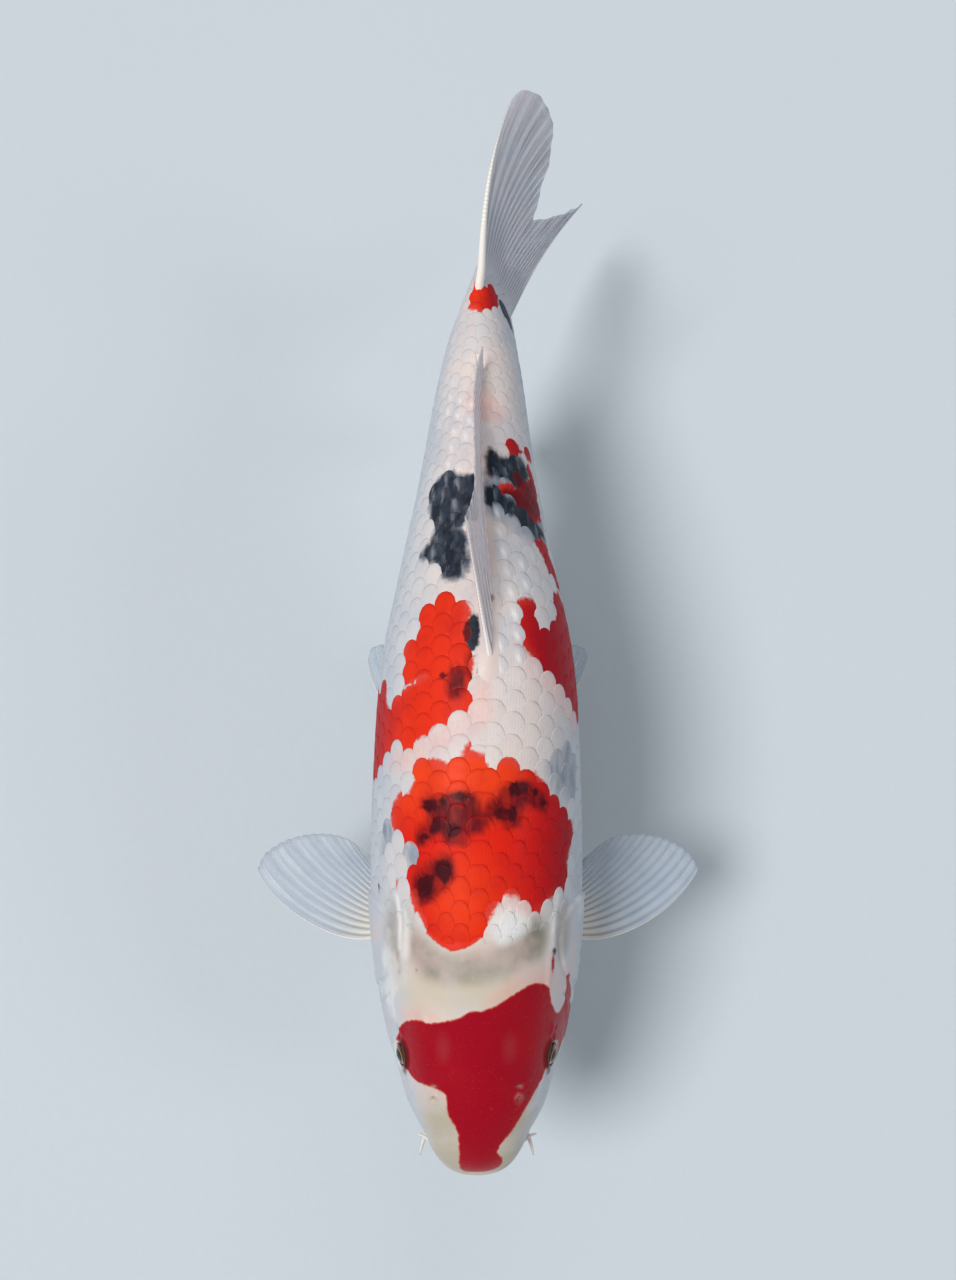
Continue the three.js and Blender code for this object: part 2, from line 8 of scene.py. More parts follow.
import bmesh
import bpy
import numpy as np
from bpy.props import FloatProperty, FloatVectorProperty, PointerProperty
from bpy.types import Operator, Panel, PropertyGroup
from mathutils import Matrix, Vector


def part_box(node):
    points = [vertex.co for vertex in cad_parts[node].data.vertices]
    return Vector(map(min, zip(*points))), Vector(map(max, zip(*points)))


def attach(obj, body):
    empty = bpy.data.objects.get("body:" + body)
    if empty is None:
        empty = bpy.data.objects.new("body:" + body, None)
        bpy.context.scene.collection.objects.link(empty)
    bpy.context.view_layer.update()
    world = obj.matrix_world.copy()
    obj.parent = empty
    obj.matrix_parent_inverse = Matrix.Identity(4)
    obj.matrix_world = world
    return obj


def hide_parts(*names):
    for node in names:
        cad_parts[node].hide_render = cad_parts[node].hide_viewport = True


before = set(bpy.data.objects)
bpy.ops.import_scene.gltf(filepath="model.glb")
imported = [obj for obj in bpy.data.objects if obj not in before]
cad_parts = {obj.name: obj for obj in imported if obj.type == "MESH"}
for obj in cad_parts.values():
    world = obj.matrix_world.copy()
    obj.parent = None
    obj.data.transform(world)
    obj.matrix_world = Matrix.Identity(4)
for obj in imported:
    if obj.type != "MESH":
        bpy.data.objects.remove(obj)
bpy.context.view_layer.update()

bl_info = {
    "name": "Koi Carp Model",
    "version": (1, 0, 0),
    "blender": (4, 5, 0),
    "location": "3D View > Sidebar > Koi",
    "description": "Builds a life-size koi carp with its scales, fins, eyes and stand",
    "category": "Add Mesh",
}

BODY = "root"  # the one body that everything rides on
MM = 0.001
SIDES = {"left": 1, "right": -1}
SEED = 7


# ---- places from the frame

EYE = {"s": 61.5, "x": 32.2, "z": 13.2, "radius": 9.0}


def middle(node):
    """The middle of a node of the frame, in millimetres."""
    low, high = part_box(node)
    return (low + high) / 2 / MM


eyes_middle = (middle("eye_left") + middle("eye_right")) / 2
# Where the fish's own origin, at the snout on the axis, lies in the row frame.
ORIGIN = np.array([0.0, eyes_middle[1] - EYE["s"], eyes_middle[2] - EYE["z"]])


def in_row(points):
    """Points of the fish's frame, in millimetres, as metres of the row frame."""
    return (np.asarray(points, float) + ORIGIN) * MM


# ---- the body's own form

# Cross-sections: s, half width, back, belly, squareness of the upper half, and how high the
# widest level lies between belly (0) and back (1).
STATIONS = [
    (0, 0, -2, -2, 2.1, 0.45),
    (1.2, 9.6, 5.5, -8.5, 2.1, 0.45),
    (4.5, 16.6, 11.5, -13, 2.1, 0.44),
    (10.5, 22.6, 17.5, -17.5, 2.1, 0.43),
    (20, 27.6, 24.5, -22.5, 2.1, 0.4),
    (35, 36, 33, -30, 2.1, 0.37),
    (60, 44.2, 44, -39, 2.05, 0.36),
    (85, 50.8, 54, -46, 2.0, 0.37),
    (110, 54.8, 62, -52, 2.0, 0.39),
    (136, 57.3, 68, -57, 2.0, 0.41),
    (173, 57.6, 74, -61, 2.05, 0.44),
    (212, 56.6, 77.5, -62.5, 2.1, 0.45),
    (245, 55.2, 77.5, -61.5, 2.1, 0.46),
    (274, 52.2, 75.5, -59, 2.1, 0.46),
    (302, 46.8, 72, -55, 2.1, 0.46),
    (332, 41.2, 66.5, -49.5, 2.0, 0.46),
    (362, 35.5, 60, -43, 2.0, 0.46),
    (393, 30.7, 52.5, -36.5, 2.0, 0.46),
    (424, 26.4, 45, -31.5, 2.0, 0.46),
    (455, 20.6, 38, -28.5, 2.0, 0.46),
    (476, 14, 34, -28, 2.0, 0.46),
    (490, 7, 33, -28.5, 2.2, 0.48),
    (498, 2.4, 31.5, -28, 2.6, 0.5),
    (500, 0, 2, 2, 2.6, 0.5),
]
LOWER_SQUARENESS = 2.3
FLESH_END = STATIONS[-1][0]

# The swimming bend: the midline's shift to the left, and the back's roll to the left.
BEND = [
    (0, -0.7), (300, -0.9), (393, 0), (424, 1.2), (455, 3.2), (476, 6), (490, 9), (FLESH_END, 12),
]
ROLL_DEGREES = [
    (0, 0), (130, 0.5), (250, 4.5), (330, 3), (400, 2.5), (440, -3), (476, -13), (490, -16),
    (FLESH_END, -16),
]


def cubic(start, end, leaving, arriving, u):
    """The curve from start to end that leaves and arrives with the given slopes."""
    onward = u * u * (3 - 2 * u)
    bends = leaving * u * (1 - u) ** 2 + arriving * u * u * (u - 1)
    return start * (1 - onward) + end * onward + bends


def smooth_rows(rows, places):
    """A smooth curve through rows of numbers, as a function of the place along it."""
    rows = np.asarray(rows, float)
    places = np.asarray(places, float)
    index = np.arange(len(places))
    before = np.maximum(index - 1, 0)
    after = np.minimum(index + 1, len(places) - 1)
    slopes = (rows[after] - rows[before]) / (places[after] - places[before])[:, None]

    def curve(at):
        at = np.asarray(at, float)
        i = np.clip(np.searchsorted(places, at, side="right") - 1, 0, len(places) - 2)
        span = (places[i + 1] - places[i])[..., None]
        u = np.clip((at - places[i])[..., None] / span, 0, 1)
        return cubic(rows[i], rows[i + 1], span * slopes[i], span * slopes[i + 1], u)

    return curve


def track(pairs):
    """A smooth function from (place, value) pairs."""
    curve = smooth_rows(pairs, [pair[0] for pair in pairs])
    return lambda at: curve(at)[..., 1]


bend = track(BEND)
roll = track(ROLL_DEGREES)
head_of_rows = np.array(STATIONS, float)[:, :2]
station_places = np.append(0, np.cumsum(np.hypot(*np.diff(head_of_rows, axis=0).T)))
section = smooth_rows(STATIONS, station_places)
fine_places = np.linspace(0, station_places[-1], 4001)
fine_s = section(fine_places)[:, 0]


def row_at(s):
    """The cross-section at a distance behind the snout."""
    return section(np.interp(s, fine_s, fine_places))


def place(s, x, z):
    """Points of the fish with the bend and the roll of its body."""
    inside = np.clip(s, 0, FLESH_END)
    angle = np.radians(roll(inside))
    across = bend(inside) + x * np.cos(angle) + z * np.sin(angle)
    return np.stack([across, s + 0 * across, z * np.cos(angle) - x * np.sin(angle)], axis=-1)


def section_point(row, angle, grow=0.0):
    """(s, x, z) of a cross-section at an angle from the back to the left, before place()."""
    s, half_width, back, belly, squareness, share = np.moveaxis(row, -1, 0)
    widest = belly + (back - belly) * share
    up = np.cos(angle) > 0
    power = np.where(up, 2 / squareness, 2 / LOWER_SQUARENESS)
    across = np.sign(np.sin(angle)) * np.abs(np.sin(angle)) ** power
    height = np.abs(np.cos(angle)) ** power
    reach = np.where(up, back + grow, belly - grow) - widest
    return s + 0 * across, (half_width + grow) * across, widest + reach * height


LEVELS = np.arange(FLESH_END + 1)
TURNS = np.linspace(0, np.pi, 361)
_, ring_x, ring_z = section_point(row_at(LEVELS)[:, None], TURNS[None])
ring_steps = np.hypot(np.diff(ring_x), np.diff(ring_z))
GIRTHS = np.hstack([np.zeros((len(LEVELS), 1)), np.cumsum(ring_steps, axis=1)])
WHOLE_GIRTHS = GIRTHS[:, -1]
ANGLES = np.array([np.interp(TURNS / np.pi * row[-1], row, TURNS) for row in GIRTHS])


def look_up(table, s, share):
    """Reads a table whose rows are LEVELS and whose columns are shares from 0 to 1."""
    s = np.clip(s, 0, FLESH_END - 0.001)
    column = np.clip(share, 0, 0.99999) * (len(TURNS) - 1)
    i = s.astype(int)
    j = column.astype(int)
    u = s - i
    v = column - j
    near = table[i, j] * (1 - u) + table[i + 1, j] * u
    far = table[i, j + 1] * (1 - u) + table[i + 1, j + 1] * u
    return near * (1 - v) + far * v


def whole_girth(s):
    return np.interp(s, LEVELS, WHOLE_GIRTHS)


def on_body(s, girth, grow=0.0):
    """Points on the body's smooth form."""
    s = np.asarray(s, float)
    girth = np.asarray(girth, float)
    angle = np.sign(girth) * look_up(ANGLES, s, np.abs(girth) / whole_girth(s))
    return place(*section_point(row_at(s), angle, grow))


def body_coordinates(points):
    """(s, girth) of points on or near the skin."""
    across, s, up = np.moveaxis(np.asarray(points, float), -1, 0)
    inside = np.clip(s, 0, FLESH_END)
    turn = np.radians(roll(inside))
    shifted = across - bend(inside)
    x = shifted * np.cos(turn) - up * np.sin(turn)
    z = shifted * np.sin(turn) + up * np.cos(turn)
    _, half_width, back, belly, squareness, share = np.moveaxis(row_at(inside), -1, 0)
    widest = belly + (back - belly) * share
    upper = z > widest
    power = np.where(upper, squareness, LOWER_SQUARENESS) / 2
    sine = (np.abs(x) / np.maximum(half_width, 0.1)) ** power
    height = np.abs(z - widest) / np.maximum(np.abs(np.where(upper, back, belly) - widest), 0.1)
    angle = np.arctan2(sine, np.where(upper, 1, -1) * height**power)
    return s, np.sign(x) * look_up(GIRTHS, inside, angle / np.pi)


# ---- lines, outlines and soft steps


def unit(vectors):
    return vectors / np.linalg.norm(vectors, axis=-1)[..., None]


def hump(distance, width):
    """1 at no distance, falling away softly over the width."""
    return np.exp(-((distance / width) ** 2))


def climb(value, low, high):
    """A soft step from 0 at low to 1 at high."""
    u = np.clip((value - low) / (high - low), 0, 1)
    return u * u * (3 - 2 * u)


def plateau(value, rises, risen, falls, fallen):
    """1 between two soft steps, one up and one down."""
    return climb(value, rises, risen) * (1 - climb(value, falls, fallen))


def closed_curve(corners, steps=5):
    """Points of a smooth closed line through a few corners."""
    corners = np.asarray(corners, float)
    u = (np.arange(steps) / steps)[None, :, None]
    before, here, after, beyond = (np.roll(corners, k, axis=0)[:, None] for k in (1, 0, -1, -2))
    points = cubic(here, after, (after - before) / 2, (beyond - here) / 2, u)
    return points.reshape(-1, corners.shape[1])


def distance_to_line(corners, s, girth):
    """How far points lie from a line of straight stretches."""
    nearest = np.full(np.shape(s), np.inf)
    for (from_s, from_g), (to_s, to_g) in zip(corners[:-1], corners[1:]):
        along_s = to_s - from_s
        along_g = to_g - from_g
        length = along_s**2 + along_g**2
        share = np.clip(((s - from_s) * along_s + (girth - from_g) * along_g) / length, 0, 1)
        gap = np.hypot(s - from_s - share * along_s, girth - from_g - share * along_g)
        nearest = np.minimum(nearest, gap)
    return nearest


def on_line(corners, s, girth, width):
    """1 on a line, falling away softly beside it."""
    return hump(distance_to_line(corners, s, girth), width)


FAR = 15.0  # distances to an outline are only worked out this near to it


def depth_inside(corners, s, girth):
    """How deep points lie inside a smooth closed outline, negative outside it."""
    outline = closed_curve(corners)
    low = outline.min(axis=0) - FAR
    high = outline.max(axis=0) + FAR
    near = (s > low[0]) & (s < high[0]) & (girth > low[1]) & (girth < high[1])
    near_s = s[near]
    near_g = girth[near]
    inside = np.zeros(near_s.shape, bool)
    for (from_s, from_g), (to_s, to_g) in zip(outline, np.roll(outline, -1, axis=0)):
        crosses = (from_g > near_g) != (to_g > near_g)
        at = from_s + (near_g - from_g) / (to_g - from_g + 1e-12) * (to_s - from_s)
        inside ^= crosses & (near_s < at)
    gap = distance_to_line(np.vstack([outline, outline[:1]]), near_s, near_g)
    depth = np.full(s.shape, -FAR)
    depth[near] = np.where(inside, 1, -1) * np.minimum(gap, FAR)
    return depth


def smooth_line(corners, steps=40):
    """A smooth line through points, as a function of the share of its length."""
    corners = np.asarray(corners, float)
    ends = np.vstack([2 * corners[0] - corners[1], corners, 2 * corners[-1] - corners[-2]])
    gaps = np.diff(ends, axis=0)
    spans = np.sqrt(np.linalg.norm(gaps, axis=1))[:, None]
    chords = gaps / spans
    before, span, after = spans[:-2], spans[1:-1], spans[2:]
    leaving = chords[:-2] - (gaps[:-2] + gaps[1:-1]) / (before + span) + chords[1:-1]
    arriving = chords[1:-1] - (gaps[1:-1] + gaps[2:]) / (span + after) + chords[2:]
    slopes = [(span * slope)[:, None] for slope in (leaving, arriving)]
    u = np.linspace(0, 1, steps, endpoint=False)[None, :, None]
    points = cubic(corners[:-1, None], corners[1:, None], *slopes, u)
    points = np.vstack([points.reshape(-1, corners.shape[1]), corners[-1:]])
    lengths = np.append(0, np.cumsum(np.linalg.norm(np.diff(points, axis=0), axis=1)))

    def at(share):
        reached = np.asarray(share, float) * lengths[-1]
        return np.stack([np.interp(reached, lengths, column) for column in points.T], axis=-1)

    return at


# ---- markings, as (s, girth)

HEAD_RED = [
    (77, -43), (79, -31), (78, -24), (81, -9), (84, -4), (86, 7), (94, 22), (97, 31), (95, 41),
    (86, 45), (81, 52), (88, 60), (100, 60), (96, 66), (80, 76), (68, 74), (60, 64), (57, 52),
    (54, 43.5), (47, 38), (39, 30.5), (32, 25), (24, 19), (18, 13), (13, 11), (9, 14), (4, 12),
    (1, 4), (1, -6), (5, -9), (14, -9), (25, -10), (34, -15), (43, -16), (46, -24), (48, -35),
    (53, -43), (58, -51), (67, -53),
]
SADDLE_RED = [
    (113, -10), (119, 2), (129, 8), (134, 11), (136, 17), (132, 24), (131, 30), (141, 46),
    (147, 60), (156, 56), (168, 61), (179, 50), (186, 38), (193, 36), (199, 26), (196, 20),
    (200, 12), (197, 6), (202, 2), (205, -5), (212, -9), (206, -13), (201, -18), (203, -26),
    (198, -37), (190, -42), (187, -50), (181, -54), (171, -50), (162, -42), (157, -32),
    (153, -40), (146, -42), (137, -35), (124, -29), (116, -19),
]
RIGHT_RED = [
    (290, -23), (287, -18), (283, -15), (277, -11), (268, -12), (255, -10), (250, -5), (240, -7),
    (232, -6), (225, -12), (220, -21), (212, -30), (209, -44), (211, -56), (204, -70), (197, -90),
    (206, -110), (224, -116), (240, -106), (246, -86), (243, -70), (235, -66), (234, -54),
    (239, -49), (241, -41), (244, -48), (251, -50), (260, -48), (268, -43), (277, -38), (283, -31),
]
LEFT_RED = [
    (281, 18), (283, 24), (276, 29), (270, 34), (275, 39), (284, 46), (295, 47), (297, 54),
    (291, 68), (288, 88), (270, 102), (246, 100), (233, 86), (229, 70), (237, 52), (247, 38),
    (255, 27), (263, 19), (271, 17),
]
FLANK_STREAK_RED = [
    (296, 58), (305, 49), (311, 43), (318, 35), (323, 34), (323, 44), (317, 54), (308, 66),
    (298, 70),
]
REAR_REDS = [
    [(375, 11), (378, 15), (379, 20), (377, 26), (371, 28), (369, 23), (371, 18), (372, 14)],
    [(379, 27), (378, 35), (373, 37), (374, 30)],
    [(355, 20), (357, 24), (359, 31), (367, 29), (366, 35), (360, 41), (352, 44), (346, 46),
     (338, 48), (333, 43), (333, 34), (335, 28), (337, 23), (339, 18), (343, 17), (350, 21)],
    [(345, 9), (348, 11), (349, 15), (347, 18), (344, 17), (343, 12)],
]
TAIL_RED = [(486, 1), (475, -4), (466, -5), (462, 2), (464, 10), (476, 19), (485, 12), (479, 5)]
RED_PATCHES = [SADDLE_RED, RIGHT_RED, LEFT_RED, FLANK_STREAK_RED, TAIL_RED, HEAD_RED]
# Red flecks as ovals: s, girth, and half their length along each.
RED_FLECKS = [(106, 44, 4.2, 1.7), (145, -50, 1.1, 0.9)]

SUMI_PATCHES = [
    [(359, -18), (357, -13), (354, -9), (352, -5), (332, -5), (327, -9), (325, -18), (331, -31),
     (339, -34), (345, -33), (351, -36), (355, -32), (358, -25)],
    [(329, -25), (328, -20), (323, -12), (319, -9), (303, -9), (297, -13), (295, -19), (297, -24),
     (303, -24), (307, -24), (309, -34), (310, -40), (315, -38), (322, -29)],
    [(371, 2), (371, 6), (367, 11), (369, 19), (370, 24), (368, 28), (363, 32), (358, 30),
     (354, 24), (350, 19), (353, 13), (355, 6), (356, 2)],
    [(347, 2), (346, 8), (341, 14), (339, 24), (335, 34), (331, 47), (326, 51), (325, 36),
     (328, 26), (331, 16), (336, 9), (338, 2)],
]
# Black that keeps its own outline across the scales.
SUMI_STREAKS = [
    [(356, -2), (354, -7), (342, -8.5), (330, -7), (329, -3), (342, -2)],
    [(277, -5), (274, -10), (267, -12), (260, -10), (258, -7), (265, -4)],
    [(477, 18.5), (478.5, 25.5), (474, 32.5), (466.5, 38), (461, 38), (464.5, 29), (469, 21.5)],
    [(156, -16), (152, -14), (145, -16), (149, -21), (155, -22)],
    [(149, -25), (146, -22), (141, -24), (138, -28), (140, -32), (147, -32)],
]
# Black dots, in the same way.
SUMI_DOTS = [
    (182, -27, 2.8, 4.4), (184, -20, 2.4, 2.8), (186, -11, 2.4, 4.6), (173, -23, 4, 2.8),
    (167, -29, 2.8, 2.8), (170, -13, 3.6, 3), (178, 8, 4.4, 2.2), (178, 15, 4.4, 2.8),
    (190, 16, 2.8, 3), (191, 22, 2.2, 2.2), (189, 28, 2.4, 2.6), (184, 33, 1.6, 2.6),
    (246, -23, 2, 2.2), (298, 0, 2.4, 1.2), (285, 2, 2, 0.9),
    (103, -32, 1, 0.9), (143, -68, 1.6, 1.2), (112, 45, 1.8, 1.8),
]
# Places where black lies deep under the skin and only darkens it.
SHADED_PATCHES = [
    [(248, -19), (250, -14), (244, -11), (234, -14), (236, -20)],
    [(256, -9), (252, -4), (242, -5), (246, -11)],
    [(184, -32), (187, -20), (188, -6), (183, -1), (172, 3), (166, -8), (163, -7), (164, -16),
     (168, -21), (163, -32), (170, -34), (177, -27)],
    [(191, 10), (194, 20), (193, 26), (186, 35), (180, 35), (182, 22), (173, 19), (172, 12),
     (177, 8), (174, 4), (182, 2), (186, 8)],
    [(157, -23), (158, -15), (150, -12), (144, -15), (136, -25), (136, -33), (147, -35),
     (152, -29)],
    [(357, 24), (364, 31), (358, 38), (346, 44), (336, 43), (338, 26), (341, 13), (349, 12),
     (352, 20)],
]
# The same on white, where it looks slate blue.
SLATE_PATCHES = [
    [(199, 34), (211, 44), (210, 62), (200, 68), (186, 60), (186, 47), (194, 38)],
    [(158, -46), (161, -38), (161, -31), (155, -31), (153, -40)],
    [(359, 1), (358, 13), (351, 25), (346, 37), (340, 45), (322, 53), (318, 40), (321, 24),
     (328, 10), (334, 1)],
    [(438, 38), (430, 50), (419, 50), (424, 40)],
    [(174, -56), (170, -64), (160, -66), (160, -58)],
]
# Where red shows faintly through white scales in front of a patch.
FRINGES = [
    [(244, -4), (236, 1), (222, 0), (214, -12), (206, -26), (200, -44), (203, -62), (212, -50),
     (216, -30), (226, -12)],
    [(264, 14), (246, 24), (236, 40), (222, 66), (236, 70), (246, 48), (262, 24)],
    [(407, -9), (405, 8), (394, 11), (388, 6), (392, -6)],
    [(133, 10), (141, 18), (138, 32), (130, 28), (128, 14)],
    [(88, 4), (98, 18), (104, 40), (97, 44), (92, 24)],
    [(82, -44), (84, -28), (80, -20), (76, -34)],
]
GILL_HIGHLIGHT = [(114, 43.5), (126, 44), (139, 47)]  # a painted highlight along the upper edge of each gill cover
# Olive grey behind the head and on the shoulders.
NAPE_PATCHES = [
    [(102, -26), (100, -14), (100, 0), (103, 15), (109, 30), (113, 36), (124, 37), (128, 30),
     (121, 25), (117, 15), (113, 4), (109, -9), (113, -22), (122, -33), (131, -39), (115, -39),
     (106, -31)],
    [(134, 48), (133, 57), (116, 56), (110, 49), (122, 47)],
    [(133, -48), (131, -56), (108, -54), (98, -48), (112, -48)],
]
# Painted highlights: on the left gill cover's ridge and on a bump behind the head between the
# saddle's lobes.
HIGHLIGHT_PATCHES = [
    [(117, 11), (126, 8), (133, 14), (131, 22), (126, 27), (120, 21)],
    [(131, -40), (122, -41), (111, -41), (111, -38), (122, -37)],
]
RUST_STREAK = [(126, -45), (116, -46), (108, -47), (102, -45)]
PALE_CRACK = [(242, -50), (244, -42), (246, -33)]

# Patches that fade in: outlines, and the depths where they begin and are full.
SOFT_PATCHES = {
    "shade": (SHADED_PATCHES, -2.5, 1.5),
    "haze": (SLATE_PATCHES, -2.5, 3),
    "fringe": (FRINGES, -5, 5),
    # bright: painted highlights
    "bright": (HIGHLIGHT_PATCHES, -4, 3),
    "nape": (NAPE_PATCHES, -7, 4.5),
}
# Where a colour changes over to the next, as the two ends of a soft step.
HEAD_CRIMSON_END = (98, 104)  # s
LEFT_SHADE_CRIMSON = (0.12, 0.62)  # shares of the way down the left flank over which the red darkens to crimson as painted shade
LEFT_SHADE_CRIMSON_BEHIND = (0.0, 0.38)  # the same, behind the change
CRIMSON_CHANGE = (222, 250)  # s
RIGHT_SHADE_CRIMSON = (0.42, 0.85)  # shares of the way down the right flank over which the red darkens to crimson as painted shade
ORANGE_START = (160, 195)  # s on the saddle
ORANGE_FADE = (202, 215)  # s behind the saddle
ORANGE_SIDE = (0, 36)  # girth
ORANGE_SPOT = (137, -8, 24, 20)  # s and girth of its middle, and its reach along each
CREAM_BAND = (97, 19)  # s of its middle, and its reach
CREAM_SIDE = (30, 54)  # girth
SNOUT_END = (40, 58)  # s
SNOUT_SIDE = (20, 42)  # girth
NAPE_SIDE = (38, 52)  # girth
FLANK_SHADE = (0.12, 0.8)  # shares of the way down the flank over which the white takes its painted bluish shade
BELLY_WHITE = (1.05, 1.6)
# The tail's end turns grey-blue: partly its own skin, partly painted shade, which reaches further
# forward on the left flank, away from the key lamp.
TAIL_END = (462, 490)  # s on the back
TAIL_END_LEFT = (456, 478)  # s on the left flank
TAIL_END_SIDE = (12, 28)  # girth


def depth_in_dots(dots, s, girth):
    """How deep points lie in any of several ovals, negative outside them."""
    depth = np.full(s.shape, -FAR)
    for at_s, at_girth, along, across in dots:
        out = np.hypot((s - at_s) / along, (girth - at_girth) / across)
        depth = np.maximum(depth, (1 - out) * min(along, across))
    return depth


def deepest(patches, s, girth):
    return np.max([depth_inside(patch, s, girth) for patch in patches], axis=0)


def crimson_share(s, half_way, rear_red):
    """How far the red has deepened to crimson: its own colour on the head and at the rear, painted
    shade down the flanks.
    """
    change = climb(s, *CRIMSON_CHANGE)
    low, high = (a + (b - a) * change for a, b in zip(LEFT_SHADE_CRIMSON, LEFT_SHADE_CRIMSON_BEHIND))
    return np.max([
        1 - climb(s, *HEAD_CRIMSON_END),
        0.75 * climb(rear_red, -2, 2),
        0.95 * climb(half_way, low, high),
        0.85 * climb(-half_way, *RIGHT_SHADE_CRIMSON),
    ], axis=0)


def orange_share(s, girth):
    """How far the red has lightened to orange, on the saddle and just behind it."""
    at_s, at_girth, along, across = ORANGE_SPOT
    band = climb(s, *ORANGE_START) * (1 - 0.55 * climb(s, *ORANGE_FADE))
    spot = 0.8 * hump((s - at_s) / along, 1) * hump((girth - at_girth) / across, 1)
    return np.maximum(band * (1 - climb(girth, *ORANGE_SIDE)), spot)


def markings(s, girth):
    """The fish's pattern at points of its skin, as named numbers for the materials."""
    side = np.abs(girth)
    half_way = girth / (0.5 * whole_girth(s))
    flank = np.abs(half_way)
    rear_red = deepest(REAR_REDS, s, girth)
    snout = (1 - climb(s, *SNOUT_END)) * (1 - climb(side, *SNOUT_SIDE))
    band = hump(s - CREAM_BAND[0], CREAM_BAND[1]) * (1 - climb(side, *CREAM_SIDE))
    tail_side = climb(girth, *TAIL_END_SIDE) * climb(s, *TAIL_END_LEFT)
    paint = {
        name: climb(deepest(outlines, s, girth), *step)
        for name, (outlines, *step) in SOFT_PATCHES.items()
    }
    nape = paint["nape"] * (1 - 0.4 * climb(side, *NAPE_SIDE))
    red = [deepest(RED_PATCHES, s, girth), rear_red, depth_in_dots(RED_FLECKS, s, girth)]
    streaks = [deepest(SUMI_STREAKS, s, girth), depth_in_dots(SUMI_DOTS, s, girth)]
    return {
        **paint,
        "red": np.max(red, axis=0),
        "sumi": deepest(SUMI_PATCHES, s, girth),
        "streaks": np.max(streaks, axis=0),
        # painted highlight along each gill cover's upper edge
        "gleam": on_line(GILL_HIGHLIGHT, s, side, 1.7),
        "rust": on_line(RUST_STREAK, s, girth, 1.8),
        "cream": np.maximum(band, snout),
        "nape": np.maximum(nape, 0.35 * snout),
        "tail_end": np.maximum(climb(s, *TAIL_END), tail_side),
        # painted shade: the white turns bluish down the flanks, where less light falls
        "flank": climb(flank, *FLANK_SHADE),
        "belly": climb(flank, *BELLY_WHITE),
        "crimson": crimson_share(s, half_way, rear_red),
        "orange": orange_share(s, girth),
    }


# ---- the skin's relief

COAT_DEPTH = 0.75  # how far the skin lies under the outside of the scales
HEAD_LENGTH = 150  # s behind which the skin has no detail of the head

# The rear edge of head and gill covers: girth, s.
HEAD_EDGE = [
    (0, 112), (20, 114), (39, 121), (50, 127), (62, 134), (84, 140), (102, 139), (117, 131),
    (126, 119), (140, 103), (150, 92), (165, 82), (200, 76),
]
head_edge = track(HEAD_EDGE)

EYE_GIRTH = 55.0


def eye_centre(side):
    return place(EYE["s"], side * EYE["x"], EYE["z"])


def eye_axis(side):
    """The direction in which an eye looks out, square to the skin."""
    near = on_body(EYE["s"] + np.array([-3, 3, 0, 0]), side * (EYE_GIRTH + np.array([0, 0, -3, 3])))
    axis = np.cross(near[1] - near[0], near[3] - near[2])
    return unit(axis) * np.sign(axis[0]) * side


GILL_COVER = [
    (119, 49), (132, 57), (140, 68), (147, 84), (146, 104), (136, 119), (120, 130), (104, 142),
    (90, 148), (80, 138), (79, 120), (86, 103), (92, 88), (96, 67), (103, 54),
]
BROW_FOLD = [(50, 45.5), (57, 47), (66, 47.3), (74, 50)]
GILL_HINGE = (98, 58)  # where the ribs of the gill cover start
GILL_RIBS = 34  # in a radian of the fan
GILL_SUTURE = [(87, 108), (100, 113), (118, 113), (134, 109), (145, 102)]
# Ridges and grooves of the head: how far each stands out, its half width, and its line.
HEAD_LINES = [
    (0.6, 2.4, [(96, 41), (112, 42), (125, 43), (137, 45)]),  # temple
    (0.7, 2.4, [(44, 40), (53, 43.5), (63, 44.5), (74, 47)]),  # brow
    (-0.7, 0.9, BROW_FOLD),
    (-0.9, 1.3, [(90, 58), (85, 74), (80, 90), (74, 104), (64, 116), (52, 124)]),  # cheek
    (-0.8, 1.3, [(19, 52), (26, 60), (36, 72), (46, 92)]),  # jaw
    (-0.6, 1.4, [(14, 92), (24, 96), (34, 104)]),  # chin
    (0.55, 2.6, [(22, 47), (30, 55), (42, 68), (56, 74), (72, 72), (86, 62)]),  # cheekbone
    (-0.5, 1.2, [(52, 118), (70, 134), (86, 146)]),  # throat
    (-0.5, 1.2, [(48, 124), (64, 142), (80, 154)]),
    (-0.5, 1.2, [(44, 108), (52, 128), (60, 137)]),
]
# Swellings and hollows: height, s, girth, reach, and how much longer each is than wide.
HEAD_SWELLINGS = [
    (0.9, 78, 86, 15, 1.0),  # cheek
    (-0.5, 66, 17, 8, 1.8),  # beside the middle of the skull
]
# Where the eye's axis leaves the head, as s and girth.
EYE_SPOT = body_coordinates(eye_centre(1) + eye_axis(1) * 7.3)
CANALS = [
    [(30, 18), (46, 30), (60, 38), (78, 40), (96, 38)],
    [(34, 44), (46, 62), (62, 72), (78, 68), (90, 52)],
    [(86, 70), (80, 88), (72, 104), (60, 118), (44, 112)],
]
PORE_SPACING = 5.0
PORE_DEPTH, PORE_WIDTH = 0.3, 0.8
NOSTRIL = (40.4, 22.4)  # the front opening's place, as s and girth
NOSTRIL_RIM = 2.1  # how far its raised rim lies from its middle
REAR_NOSTRIL = (46.3, 23.2, 0.95, 2.3)  # the hind opening's place and half its size each way


def canal_pores():
    """Places of the small sense pores along the head's canals."""
    pores = []
    for canal in CANALS:
        length = np.linalg.norm(np.diff(canal, axis=0), axis=1).sum()
        pores.extend(smooth_line(canal)(np.linspace(0, 1, int(length / PORE_SPACING))))
    return pores


# Each fold's height over the line between the lips, its relief and half width. They fade out
# over the end, in s.
MOUTH = {
    "half_width": 22, "drop": 3.6, "end": (20, 25),
    "folds": [
        (2.9, 1.9, 1.9), (-3.0, 1.7, 1.8), (7.2, -0.9, 1.3), (-7.0, -0.8, 1.4), (0, -1.9, 0.8),
    ],
}


